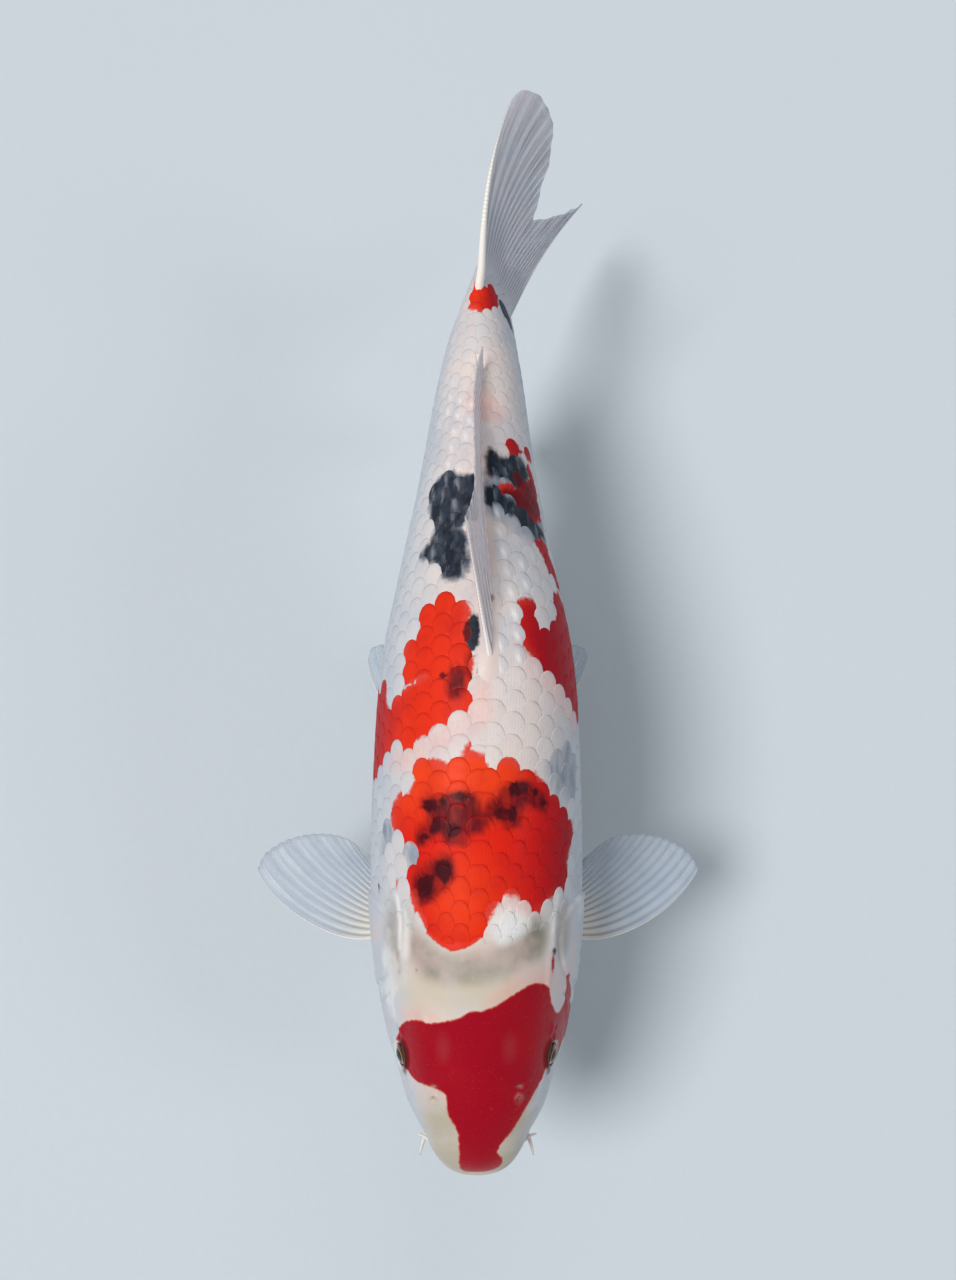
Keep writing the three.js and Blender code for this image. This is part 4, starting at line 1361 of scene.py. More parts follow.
def scale_tree():
    """Sets the plate on every root, lays it on the bed and lifts its hind edge."""
    tree = NodeTree("Scales", {
        "Plate": "Object", "Bed": "Object", "Relief": "Float", "Material": "Material",
    })
    given = tree.given
    turn = tree.add(
        "FunctionNodeAxesToRotation",
        {"primary_axis": "Z", "secondary_axis": "X"},
        {"Primary Axis": tree.attribute("outward", "FLOAT_VECTOR"),
         "Secondary Axis": tree.attribute("backward", "FLOAT_VECTOR")},
    )
    plate, bed = (
        tree.add("GeometryNodeObjectInfo", values={"Object": given[name]}, output="Geometry")
        for name in ("Plate", "Bed")
    )
    plates = tree.add("GeometryNodeInstanceOnPoints", values={
        "Points": given["Geometry"],
        "Instance": plate,
        "Rotation": turn,
        "Scale": tree.attribute("size", "FLOAT_VECTOR"),
    })
    real = tree.add("GeometryNodeRealizeInstances", values={"Geometry": plates})
    here = tree.add("GeometryNodeInputPosition")
    spot, normal = (
        tree.add(
            "GeometryNodeSampleNearestSurface",
            {"data_type": "FLOAT_VECTOR"},
            {"Mesh": bed, "Value": tree.add(value), "Sample Position": here},
        )
        for value in ("GeometryNodeInputPosition", "GeometryNodeInputNormal")
    )
    height = tree.product(tree.attribute("lift"), given["Relief"])
    raised = tree.add("ShaderNodeVectorMath", {"operation": "SCALE"},
                      {"Vector": normal, "Scale": height})
    target = tree.add("ShaderNodeVectorMath", {"operation": "ADD"}, {0: spot, 1: raised})
    laid = tree.add("GeometryNodeSetPosition", values={"Geometry": real, "Position": target})
    tree.finish(laid, given["Material"])
    return tree


BED_RINGS = (60, 499, 2.0)  # from s, to s, and the spacing
BED_SIDES = 180


def scale_bed():
    """The smooth body just under the scales, which only helps to lay them."""
    s = np.arange(*BED_RINGS)
    angles = np.arange(BED_SIDES) / BED_SIDES * 2 * np.pi
    points = place(*section_point(row_at(s)[:, None], angles[None], -COAT_DEPTH))
    bed = new_piece("scale_bed", points.reshape(-1, 3), tube_faces(len(s), BED_SIDES))
    turn_outwards(bed)
    low = min(bed.data.polygons, key=lambda face: face.center.z)
    if low.normal.z > 0:
        bed.data.flip_normals()
    return bed


COAT_SEAM = 235  # s between the front and the rear pieces
SCALE_FIELDS = {  # the coat's pieces: from s, to s, and their side
    f"scales_{part}_{name}": (start, end, side)
    for part, start, end in (("front", 0, COAT_SEAM), ("rear", COAT_SEAM, FLESH_END))
    for name, side in SIDES.items()
}
BAKE_PATCH = 0.003  # the width of a scale's patch in the map
BAKE_ALONG = (0.04, 0.92)  # where the map of the whole body starts and how long it is
BAKE_ACROSS = (0.5, 0.46)  # the middle of the back, and the reach of each side


def bake_map(mesh, roots, corners_each):
    """The OFBake map: each scale a small patch at its root's place on the unrolled skin."""
    own = np.column_stack([read_attribute(mesh, name) for name in ("own_along", "own_across")])
    unrolled = np.column_stack([
        BAKE_ALONG[0] + BAKE_ALONG[1] * roots[:, 0] / FLESH_END,
        BAKE_ACROSS[0] + BAKE_ACROSS[1] * roots[:, 1] / WHOLE_GIRTHS.max(),
    ])
    spots = np.repeat(unrolled, corners_each, axis=0) + own * BAKE_PATCH / 2
    corners = np.empty(len(mesh.loops), np.int32)
    mesh.loops.foreach_get("vertex_index", corners)
    layer = mesh.uv_layers.new(name="OFBake")
    layer.uv.foreach_set("vector", np.float32(spots[corners]).ravel())


# How much scales vary: their place in millimetres, their turn and their size.
SHAKE = {"along": 0.15, "across": 0.2, "turn": 0.02, "size": 0.02}


def root_piece(name, roots, s, girth, shake):
    """The roots of one piece of the coat, with each scale's axes and size."""
    under = -COAT_DEPTH
    at = on_body(s, girth, under)
    backward = on_body(s + 1, girth, under) - on_body(s - 1, girth, under)
    aside = on_body(s, girth + 1, under) - on_body(s, girth - 1, under)
    outward = unit(np.cross(aside, backward))
    axis = on_body(s, girth * 0, 0) * [1, 1, 0]
    outward *= np.sign(((at - axis) * outward).sum(axis=1))[:, None]
    size = np.column_stack([roots[:, 2:4] * (1 + SHAKE["size"] * shake[:, 3:5]), np.ones(len(at))])
    return new_piece(name, at, [], {
        "backward": backward + SHAKE["turn"] * shake[:, 2:3] * aside,
        "outward": outward,
        "size": size * MM,
        "pore_here": roots[:, 4],
    })


def build_scales(settings, material):
    """The coat, in a few pieces, each scale a thin plate over the skin."""
    rng = np.random.default_rng(SEED)
    roots = scale_roots()
    jitter = rng.normal(0, 1, (len(roots), 5))
    tones = rng.random(len(roots))
    points, faces, attributes = plate_template()
    plate = new_piece("scale_plate", [(0, 0, 0)] * len(points), faces, attributes)
    plate.data.vertices.foreach_set("co", points.ravel())
    bed = scale_bed()
    tree = scale_tree()
    pieces = []
    for name, (start, end, side) in SCALE_FIELDS.items():
        chosen = (roots[:, 0] >= start) & (roots[:, 0] < end)
        chosen &= (roots[:, 1] >= 0) if side > 0 else (roots[:, 1] < 0)
        mine, shake = roots[chosen], jitter[chosen]
        s = mine[:, 0] + SHAKE["along"] * shake[:, 0]
        girth = mine[:, 1] + SHAKE["across"] * shake[:, 1]
        piece = root_piece(name, mine, s, girth, shake)
        put_attribute(piece.data, "tone", tones[chosen])
        tree.run(piece, plate=plate, bed=bed, relief=settings.relief, material=material)
        paint_scales(piece.data, s, girth, len(points))
        turn_outwards(piece)
        bake_map(piece.data, mine, len(points))
        piece.data.shade_smooth()
        pieces.append(piece)
    for helper in (plate, bed):
        bpy.data.objects.remove(helper)
    return pieces


CENTRE_SHARE = 0.62  # how much a scale takes the colour of its own middle
BACK_FOLDS = (18, 36)  # girth over which the painted glints and the painted shade round them beside the dorsal fin end
LEFT_FOLDS = (235, 255, 330, 350)  # s where they rise and fall on the left, and on the right
RIGHT_FOLDS = (350, 365, 400, 425)


def paint_folds(mesh, root_s, root_girth, outwards):
    """Painted glints and painted grey shade round them on the scales beside the dorsal fin, and
    where black wears off.
    """
    along = read_attribute(mesh, "own_along")
    # a painted highlight: a bright dash on each scale
    dash = hump(outwards - 1.2 - 1.6 * along, 0.6) * hump(along - 0.35, 0.35)
    spot = dash * climb(read_attribute(mesh, "tone"), 0.2, 0.7)
    left = plateau(root_s, *LEFT_FOLDS) * climb(root_girth, 0, 4)
    right = plateau(root_s, *RIGHT_FOLDS) * climb(-root_girth, 0, 4)
    folds = (left + right) * (1 - climb(np.abs(root_girth), *BACK_FOLDS))
    fade = hump(outwards - 0.6 - 1.8 * along, 1.2) * climb(along, -0.6, 0.1)
    return {"glint": spot * folds, "dull": (1 - spot) * folds, "fade": fade}


def paint_scales(mesh, root_s, root_girth, corners_each):
    """The pattern on the scales; each leans towards the colour of its middle."""
    co = np.empty(len(mesh.vertices) * 3)
    mesh.vertices.foreach_get("co", co)
    s, girth = body_coordinates(co.reshape(-1, 3) / MM - ORIGIN)
    own_s = np.repeat(root_s, corners_each)
    own_girth = np.repeat(root_girth, corners_each)
    across_belly = np.abs(girth - own_girth) > 60
    girth = np.where(across_belly, own_girth, girth)
    share = CENTRE_SHARE * climb(own_s - head_edge(np.abs(own_girth)), 1, 8)
    shared = markings(own_s * share + s * (1 - share), own_girth * share + girth * (1 - share))
    paint = markings(s, girth)
    paint["red"] = np.minimum(shared["red"], distance_to_line(PALE_CRACK, s, girth) - 0.7)
    paint["sumi"] = (paint["sumi"] + shared["sumi"]) / 2
    paint["haze"] = shared["haze"]
    paint.update(paint_folds(mesh, own_s, own_girth, np.abs(girth) - np.abs(own_girth)))
    pore = plateau(read_attribute(mesh, "own_along"), 0, 0.3, 0.6, 0.8)
    pore = pore * hump(read_attribute(mesh, "own_across"), 0.14)
    paint["pore"] = pore * read_attribute(mesh, "pore_here")
    for name, values in paint.items():
        put_attribute(mesh, name, values)


# ---- the eyes

PUPIL_SHARE = 0.6  # of the iris's width
CORNEA = (0.45, 0.42)  # how far it bulges, and its reach as an angle
EYE_CLEARANCE = 0.15
EYE_RINGS = 26
EYE_SIDES = 64
EYE_POLE = 0.02  # the angle at which the first and the last ring lie


def build_eye(name, side):
    """An eyeball with its poles on the line of sight and a slight cornea."""
    axis = eye_axis(side)
    angles = np.linspace(EYE_POLE, np.pi - EYE_POLE, EYE_RINGS)
    height, reach = CORNEA
    radii = EYE["radius"] - EYE_CLEARANCE + height * hump(angles, reach)
    points = np.vstack([
        circle_round(eye_centre(side) + axis * radius * np.cos(angle), axis,
                     radius * np.sin(angle), EYE_SIDES)
        for angle, radius in zip(angles, radii)
    ])
    faces = tube_faces(EYE_RINGS, EYE_SIDES)
    for first in (0, (EYE_RINGS - 1) * EYE_SIDES):
        faces.append(tuple(range(first, first + EYE_SIDES)))
    out = np.repeat(angles, EYE_SIDES) / np.arcsin(LID["radius"] / EYE["radius"])
    piece = new_piece(name, points, faces, {"out": out})
    turn_outwards(piece)
    return piece


def eye_material(settings):
    """A black pupil in a thin bright ring, and a dark bronze iris under a wet surface."""
    shader = Shader("koi_eye_wet", settings)
    out = shader.attribute("out")
    fibres = shader.noise(2600, 2)
    edge = PUPIL_SHARE
    outer = shader.paint_over(
        shader.mix(fibres.climb(0.35, 0.7), "iris_dark", "iris"),
        (out.climb(edge, edge + 0.05) - out.climb(edge + 0.07, edge + 0.14), "ring"),
        (out.climb(0.86, 1.0), "white"),
    )
    return shader.set_surface(
        base_color=shader.mix(out.climb(edge - 0.03, edge + 0.02), "pupil", outer),
        metallic=0.35 * out.climb(edge, edge + 0.1) - 0.35 * out.climb(0.86, 1.0),
        roughness=0.12 + 0.1 * fibres,
        normal=shader.bump(fibres, 0.00008),
        specular_ior_level=0.12,
        coat_weight=0.8,
        coat_roughness=0.03,
    )


# ---- fins

# Each fin's outline: its root, its margin, the two bows of its first ray, which fade out by
# "fade" from ray to ray, the count of its rays, how stout the first is, how far it ripples, how
# deep the margin is notched between rays, and its thickness at root and margin.
DORSAL = {
    "root": [(243, 3.5, 70), (280, 2.6, 69), (330, 0.8, 60), (380, 0, 49), (408, 0, 42)],
    "margin": [
        (318, -6, 104), (327, -3.6, 97.5), (337, -1.8, 91), (356, -1.7, 84.5), (380, -2.2, 74.5),
        (404, -1.9, 64), (421, -0.2, 57), (433, 2.5, 51),
    ],
    "bows": [(-3, 0, 3), (-3, 0, 3)],
    "rays": 20,
    "lead": 1.7,
    "ripple": 0.15,
    "notch": 0.0,
    "thickness": (6.0, 0.8),
}
ANAL = {
    "root": [(390, 0, -30), (406, 0, -27), (424, 0, -24)],
    "margin": [(438, 1, -80), (447, 1.5, -70), (453, 2.5, -58), (456, 4, -45)],
    "bows": [(-3, 0, -3), (-2, 0, -4)],
    "rays": 8,
    "lead": 1.3,
    "thickness": (3.2, 0.4),
}
# The tail fin leans, swept to the left and cupped by the water. It is drawn flat, as (back, up):
# how far behind its root, and how far along its height.
TAIL = {
    "s": 489, "x": 9.5, "z": 2, "sweep": 0.244, "curl": 0.0044, "lean": 0.243, "twist": 0.0009,
    "cup": 0.0000625,
}
# How lean and cup change towards the upper lobe of the tail fin, and how softly.
TAIL_CHANGE = {"lean": -0.043, "cup": 0.0000075, "over": 15.0}
TAIL_UPPER = {
    "root": [(-12, 27.5), (-6, 22), (-1, 12), (0, 0.2)],
    "margin": [
        (81, 72.6), (87.5, 72), (90.5, 66), (89.5, 58), (83, 44), (72, 29), (59, 13), (51.5, 0.2),
    ],
    "bows": [(-4, 8.5), (-5, 8)],
    "rays": 12,
    "lead": 5.2,
    "notch": 0.4,
    "thickness": (4.4, 0.5),
    "fade": 1.2,
}
TAIL_LOWER = {
    "root": [(-7, -26.5), (-3, -20), (0, -11), (0, -0.2)],
    "margin": [(103.5, -66), (99, -59), (85, -42), (66, -20), (51.5, -0.2)],
    "bows": [(-3, -7.5), (-4, -6)],
    "rays": 11,
    "lead": 2.2,
    "notch": 0.4,
    "thickness": (4.4, 0.5),
    "fade": 1.2,
}
PECTORAL = {
    "root": [(124, 44.5, -35), (130, 43, -39), (138, 41, -44)],
    "margin": [
        (153.8, 127.5, -43), (162, 123.5, -43), (170, 111, -42.5), (173.5, 94.5, -42),
        (171, 77, -42), (159, 61, -43), (149, 50, -45),
    ],
    "bows": [(-36, -9, 1), (-13, 18, 2)],
    "fade": 2.4,
    "rays": 20,
    "ripple": 0.2,
    "lead": 1.5,
    "thickness": (3.8, 0.5),
}
PELVIC = {
    "root": [(236, 29, -56), (241, 26, -57), (247, 22, -57.5)],
    "margin": [
        (281, 68, -62.5), (287.5, 66, -63), (290, 60, -63.5), (286, 48, -64), (277, 36, -64),
        (266, 26, -63.5),
    ],
    "bows": [(-9, 7, 0), (-9, 8, 0)],
    "rays": 9,
    "lead": 1.3,
    "thickness": (3.4, 0.5),
}
FIN_STEPS = 26  # along a ray
BETWEEN_RAYS = 8  # columns of membrane from one ray to the next
RIPPLES = (0.37, 1.3)  # waves from one ray to the next, and where they start
NOTCHES = (0.008, 0.004)  # between rays and between their branches, in shares of a ray
BETWEEN_THINNER = 0.12  # how much thinner the membrane is between the rays
ON_RAYS_THICKER = 0.25


def bent_tail(flat):
    """Points of the flat tail as the water bends them."""
    back, up = flat[..., 0], flat[..., 1]
    swept = TAIL["sweep"] * back + TAIL["curl"] * back * np.abs(back)
    change = np.tanh(up / TAIL_CHANGE["over"])
    lean = TAIL["lean"] + TAIL_CHANGE["lean"] * change
    cup = TAIL["cup"] + TAIL_CHANGE["cup"] * change
    leaning = lean * up - TAIL["twist"] * up * back + cup * up * up * np.maximum(back, 0)
    upright = up * np.sqrt(1 - lean**2)
    return np.stack([TAIL["x"] + swept - leaning, TAIL["s"] + back, TAIL["z"] + upright], axis=-1)


def fin_sheet(fin, side=1):
    """A fin's middle sheet, as a function of the share of its root line and the share of a ray."""
    flat = len(fin["root"][0]) == 2
    if flat:
        root, margin, bows = fin["root"], fin["margin"], fin["bows"]
    else:
        root = [place(s, side * x, z) for s, x, z in fin["root"]]
        margin, bows = ([(side * x, s, z) for s, x, z in fin[part]] for part in ("margin", "bows"))
    root, margin = smooth_line(root), smooth_line(margin)
    bows = np.array(bows, float)
    fade = fin.get("fade", 1.5)

    def sheet(t, k):
        t, k = np.broadcast_arrays(t, k)
        start, end = root(t), margin(t)
        bowed = np.maximum(1 - t, 0)[..., None] ** fade
        first = start + (end - start) / 3 + bows[0] * bowed
        second = start + (end - start) * 2 / 3 + bows[1] * bowed
        k = k[..., None]
        rest = 1 - k
        points = rest**3 * start + 3 * rest**2 * k * first + 3 * rest * k**2 * second + k**3 * end
        return bent_tail(points) if flat else points

    return sheet


def sheet_normals(sheet, t, k, small=0.004):
    """Directions square to a sheet, from points a small way to each side."""
    along = sheet(t, np.minimum(k + small, 1)) - sheet(t, np.maximum(k - small, 0))
    across = sheet(np.minimum(t + small, 1), k) - sheet(np.maximum(t - small, 0), k)
    return unit(np.cross(along, across))


def closed_sheet_faces(columns, rows):
    """Faces of a grid of points, of its copy behind it and of the rim between them."""
    count = columns * rows
    at = np.arange(count).reshape(columns, rows)
    quads = np.stack([at[:-1, :-1], at[:-1, 1:], at[1:, 1:], at[1:, :-1]], axis=-1).reshape(-1, 4)
    faces = [*quads.tolist(), *(quads[:, ::-1] + count).tolist()]
    rim = [*at[:-1, 0], *at[-1, :-1], *at[:0:-1, -1], *at[0, :0:-1]]
    for corner, following in zip(rim, np.roll(rim, -1)):
        faces.append([int(k) for k in (corner, following, following + count, corner + count)])
    return faces


def membrane(name, fin, side=1):
    """The skin of a fin: a thin closed sheet, sunk a little between its rays."""
    rays = fin["rays"]
    columns = (rays - 1) * BETWEEN_RAYS + 1
    t, k = np.meshgrid(np.linspace(0, 1, columns), np.linspace(0, 1, FIN_STEPS), indexing="ij")
    across = t * (rays - 1)
    between = np.sin(across * np.pi) ** 2
    forks = np.sin(across * np.pi * 4) ** 2
    notch = fin.get("notch", 1.0) * (NOTCHES[0] * between + NOTCHES[1] * forks)
    k = k * (1 - notch * climb(k, 0.7, 1.0))
    sheet = fin_sheet(fin, side)
    normals = sheet_normals(sheet, t, k)
    thick, thin = fin["thickness"]
    on_rays = climb(1 - between, 0.5, 1.0) * climb(k, 0.05, 0.3)
    half = 0.5 * (thin + (thick - thin) * (1 - np.sqrt(k)) ** 1.6)
    half = half * (1 - BETWEEN_THINNER * between) * (1 + ON_RAYS_THICKER * on_rays)
    waves, start = RIPPLES
    wave = np.sin(across * np.pi * 2 * waves + start) * climb(k, 0.5, 1.0)
    middle_points = sheet(t, k) + normals * (fin.get("ripple", 0.5) * wave)[..., None]
    sides = [(middle_points + normals * way * half[..., None]).reshape(-1, 3) for way in (1, -1)]
    both = {"reach": np.tile(k.ravel(), 2), "across": np.tile(across.ravel(), 2)}
    piece = new_piece(name, np.vstack(sides), closed_sheet_faces(columns, FIN_STEPS), both)
    turn_outwards(piece)
    return piece


BRANCHING = (0.42, 0.7)  # where along a ray it parts in two, and each half in two again
BRANCH_SPREAD = (0.2, 0.1)  # in spaces between rays
RAY_TAPER = 0.72  # how much of its radius a ray loses up to the margin
BRANCH_SIZES = (0.8, 0.6)  # radii of branches and twigs as shares of the ray's
LEAD_TIP = 0.3  # radius of the first ray's tip
RAY_SIDES = 6
RAY_JOINTS = 46
SECOND_RAY = 1.15  # how much stouter the second ray is than the others


def ray_lines(fin):
    """Each ray and branch of a fin as (t, k, radius) along it; a plain ray's root has radius 1."""
    rays = fin["rays"]
    first, second = BRANCHING
    k = np.linspace(0.02, 0.995, 30)
    lines = [(0 * k, k, LEAD_TIP + (fin["lead"] - LEAD_TIP) * (1 - k) ** 1.15)]

    def add_line(ray, k, fork, twig, share):
        aside = fork * BRANCH_SPREAD[0] * climb(k, first, second + 0.1)
        spread = twig * BRANCH_SPREAD[1] * climb(k, second, 1.0)
        size = (SECOND_RAY if ray == 1 else 1.0) * share
        lines.append((ray + aside + spread, k, size * (1 - RAY_TAPER * k)))

    for ray in range(1, rays):
        add_line(ray, np.linspace(0.02, first, 12), 0, 0, 1.0)
        for fork in (-1, 1) if ray < rays - 1 else (-1,):
            add_line(ray, np.linspace(first, second, 8), fork, 0, BRANCH_SIZES[0])
            for twig in (-1, 1):
                add_line(ray, np.linspace(second, 0.975, 9), fork, twig, BRANCH_SIZES[1])
    return [(np.clip(t / (rays - 1), 0, 1), k, radius) for t, k, radius in lines]


def ray_tree():
    """Draws a tapering bar along every line of a mesh of edges."""
    tree = NodeTree("Fin rays", {"Sides": "Int", "Thickness": "Float", "Material": "Material"})
    given = tree.given
    lines = tree.add("GeometryNodeMeshToCurve", values={"Mesh": given["Geometry"]})
    profile = tree.add("GeometryNodeCurvePrimitiveCircle",
                       values={"Resolution": given["Sides"], "Radius": 1.0})
    width = tree.product(tree.attribute("radius"), given["Thickness"])
    bars = tree.add("GeometryNodeCurveToMesh", values={
        "Curve": lines, "Profile Curve": profile, "Scale": width, "Fill Caps": True,
    })
    tree.finish(bars, given["Material"])
    return tree


def fin_rays(name, fin, side, tree, settings, material):
    """The bony rays of a fin, laid on its middle sheet."""
    sheet = fin_sheet(fin, side)
    points, edges = [], []
    paint = {"radius": [], "reach": [], "lead": []}
    for t, k, radius in ray_lines(fin):
        start = len(points)
        points.extend(sheet(t, k))
        edges.extend((i, i + 1) for i in range(start, len(points) - 1))
        paint["radius"].extend(radius)
        paint["reach"].extend(k)
        paint["lead"].extend(1 - np.minimum(t * (fin["rays"] - 1), 1))
    piece = new_piece(name, points, [], paint, edges)
    tree.run(piece, sides=RAY_SIDES, thickness=settings.ray_radius, material=material)
    piece.data.shade_smooth()
    return piece


def membrane_material(kind, settings):
    """Clear skin between the rays, milky towards the root, finely lined along the rays, with
    painted shade midway between them.
    """
    shader = Shader(f"{kind}_fin_skin", settings)
    reach = shader.attribute("reach")
    cloud = shader.noise(70, 3)
    grain = shader.noise(700, 2)
    wave = shader.attribute("across") * (2 * np.pi)
    between = 0.5 - 0.5 * (wave + np.pi / 2).sine()
    forks = 0.5 - 0.5 * (wave * 4 + np.pi / 2 + cloud * 2).sine()
    # painted shade midway between the rays, where the membrane sinks
    dark = between.climb(0.45, 1.0) * reach.climb(0.05, 0.2) * (1 - 0.5 * reach.climb(0.5, 0.9))
    near_root = 1 - reach.climb(0.3, 0.7)
    lines = dark * (0.28 + 0.32 * near_root) + forks * reach.climb(0.4, 0.8) * 0.15
    clear = reach.climb(0.06, 0.55) * (0.55 + 0.45 * between) * (1 - settings.cover)
    return shader.set_surface(
        base_color=shader.paint_over(
            shader.mix(reach.climb(0.05, 0.6), f"{kind}_root", f"{kind}_skin"),
            (cloud.climb(0.4, 0.7) * reach.climb(0.2, 0.6) * 0.5, "tint"),
            (lines, "line"),
        ),
        roughness=0.32 + 0.15 * grain,
        normal=shader.bump(forks * 0.3 + grain * 0.3 - between * 0.3, 0.0002),
        alpha=1 - clear - reach.climb(0.7, 1.0) * cloud.climb(0.35, 0.7) * 0.15,
        specular_ior_level=0.35,
        coat_weight=0.15,
        coat_roughness=0.15,
    )


def ray_material(kind, settings):
    """Bony rays: whitish, crossed by fine joints, clearer towards their tips."""
    shader = Shader(f"{kind}_fin_ray", settings)
    reach = shader.attribute("reach")
    grain = shader.noise(900, 2)
    joints = (reach * (2 * np.pi * RAY_JOINTS)).sine().climb(0.7, 1.0) * reach.climb(0.25, 0.45)
    bare = 1 - shader.attribute("lead")
    colour = shader.mix(reach.climb(0.0, 0.3) * bare, "ray_root", f"{kind}_ray")
    return shader.set_surface(
        base_color=shader.mix(joints * 0.3, colour, "line"),
        roughness=0.35 + 0.15 * grain,
        normal=shader.bump(grain - joints, 0.00012),
        alpha=1 - 0.4 * reach.climb(0.55, 1.0),
        specular_ior_level=0.35,
    )


# Each fin: its drawing, its side, the node that it replaces and the kind of its colours.
FINS = {
    "dorsal": (DORSAL, 1, "dorsal_fin", "dorsal"),
    "anal": (ANAL, 1, "anal_fin", "paired"),
    "tail_upper": (TAIL_UPPER, 1, "tail_fin_upper", "tail"),
    "tail_lower": (TAIL_LOWER, 1, "tail_fin_lower", "tail"),
}
for side, way in SIDES.items():
    FINS[f"pectoral_{side}"] = (PECTORAL, way, f"pectoral_fin_{side}", "paired")
    FINS[f"pelvic_{side}"] = (PELVIC, way, f"pelvic_fin_{side}", "paired")


# ---- the stand


def wood_material(settings):
    """Oiled walnut, its grain along the base."""
    shader = Shader("stand_walnut", settings)
    warp = shader.noise(6, 3)
    long = shader.stretched((9.0, 1.0, 9.0))
    grain = shader.noise(14, 6, long)
    rings = (grain * 26 + warp * 8).sine() * 0.5 + 0.5
    pores = shader.noise(110, 4, shader.stretched((8.0, 0.6, 8.0))).climb(0.56, 0.7)
    return shader.set_surface(
        base_color=shader.paint_over(
            shader.mix(rings, "wood_dark", "wood_light"),
            (warp.climb(0.3, 0.7) * 0.4, "wood_dark"),
            (pores * 0.5, "wood_pore"),
        ),
        roughness=0.38 + 0.16 * rings,
        normal=shader.bump(rings * 0.25 - pores, 0.0002),
        coat_weight=0.25,
        coat_roughness=0.2,
    )


def steel_material(settings):
    """Brushed steel, its marks round the rod."""
    shader = Shader("stand_brushed_steel", settings)
    marks = shader.noise(160, 4, shader.stretched((1.0, 1.0, 22.0)))
    return shader.set_surface(
        base_color=shader.mix(marks, "steel", "steel_mark"),
        metallic=1.0,
        roughness=0.22 + 0.2 * marks,
        normal=shader.bump(marks, 0.00004),
    )


# ---- the stage

CAMERA = {
    "s": 144.5, "height": 760.5, "tilt": 12.0, "lens": 32.34, "sensor": 36.0, "clip": (0.01, 30),
}
FLOOR_DROP = 0.5  # the floor lies this far under the stand's base
FLOOR_HALF = 2600  # half the floor's width
FLOOR_FADE = (0.6, 1.7)  # metres from the middle over which the floor fades out
LAMP_TARGET = 245  # s
# Suns: where each shines from, as s, x and height, how wide it looks, its colour and strength.
LAMPS = {
    "key": ((190, -500, 1000), 24, (1.0, 0.985, 0.96), 2.4),
    "fill": ((100, 800, 700), 20, (0.92, 0.96, 1.0), 0.45),
    "back": ((950, 100, 650), 30, (0.97, 0.985, 1.0), 0.3),
}


def floor_material(settings):
    """A pale, even, faintly mottled surface."""
    shader = Shader("floor_pale", settings)
    cloud = shader.noise(2.2, 3)
    grain = shader.noise(260, 3)
    colour = shader.mix(cloud * 0.35 + grain * 0.15, "floor", "floor_cloud")
    material = shader.set_surface(
        base_color=colour, roughness=0.62 + 0.16 * grain, normal=shader.bump(grain, 0.00015)
    )
    away = shader.add("ShaderNodeVectorMath", {"operation": "LENGTH"}, {0: shader.place}, "Value")
    clear = shader.add("ShaderNodeBsdfTransparent")
    solid = Wire(shader, shader.surface.outputs[0])
    share = away.climb(*FLOOR_FADE)
    faded = shader.add("ShaderNodeMixShader", values={0: share, 1: solid, 2: clear})
    feed(shader.tree.nodes["Material Output"].inputs["Surface"], faded)
    return material


def build_floor(settings):
    half = FLOOR_HALF * MM
    corners = [(-half, -half), (half, -half), (half, half), (-half, half)]
    mesh = bpy.data.meshes.new("floor")
    mesh.from_pydata([(x, y, -FLOOR_DROP * MM) for x, y in corners], [], [(0, 1, 2, 3)])
    mesh.materials.append(floor_material(settings))
    floor = new_object("floor", mesh)


def build_lamps(settings):
    target = Vector(in_row((0, LAMP_TARGET, 0)))
    for name, ((s, x, height), width, colour, strength) in LAMPS.items():
        light = bpy.data.lights.new(f"lamp_{name}", "SUN")
        light.angle = np.radians(width)
        light.color = colour
        light.energy = settings.lamp_strength * strength
        thing = new_object(light.name, light)
        thing.location = (x * MM, (s + ORIGIN[1]) * MM, height * MM)
        thing.rotation_euler = (target - thing.location).to_track_quat("-Z", "Y").to_euler()


def build_world(settings):
    """Even light from all round, and a pale ground behind everything."""
    world = bpy.data.worlds.new("studio")
    world.use_nodes = True
    tree = world.node_tree
    around = tree.nodes["Background"]
    feed(around.inputs["Color"], (*settings.sky, 1.0))
    feed(around.inputs["Strength"], settings.sky_strength)
    seen = add_node(tree, "ShaderNodeBackground", values={"Color": (*settings.ground, 1.0)})
    path = add_node(tree, "ShaderNodeLightPath")
    mixed = add_node(tree, "ShaderNodeMixShader", values={
        "Fac": path.outputs["Is Camera Ray"], 1: around.outputs[0], 2: seen.outputs[0],
    })
    feed(tree.nodes["World Output"].inputs["Surface"], mixed.outputs[0])
    bpy.context.scene.world = world


def build_camera():
    data = bpy.data.cameras.new("camera")
    data.lens = CAMERA["lens"]
    data.sensor_fit = "AUTO"
    data.sensor_width = CAMERA["sensor"]
    data.clip_start, data.clip_end = CAMERA["clip"]
    camera = new_object("camera", data)
    camera.location = (0, (CAMERA["s"] + ORIGIN[1]) * MM, CAMERA["height"] * MM)
    camera.rotation_euler = (np.radians(CAMERA["tilt"]), 0, 0)
    bpy.context.scene.camera = camera


# ---- settings


def paint(name, description, default):
    """A colour that a user may change."""
    return FloatVectorProperty(
        name=name, description=description, default=default, subtype="COLOR", size=3,
        min=0, max=1,
    )


def fraction(name, description, default):
    """A number from 0 to 1 that a user may change."""
    return FloatProperty(
        name=name, description=description, default=default, subtype="FACTOR", min=0, max=1,
    )


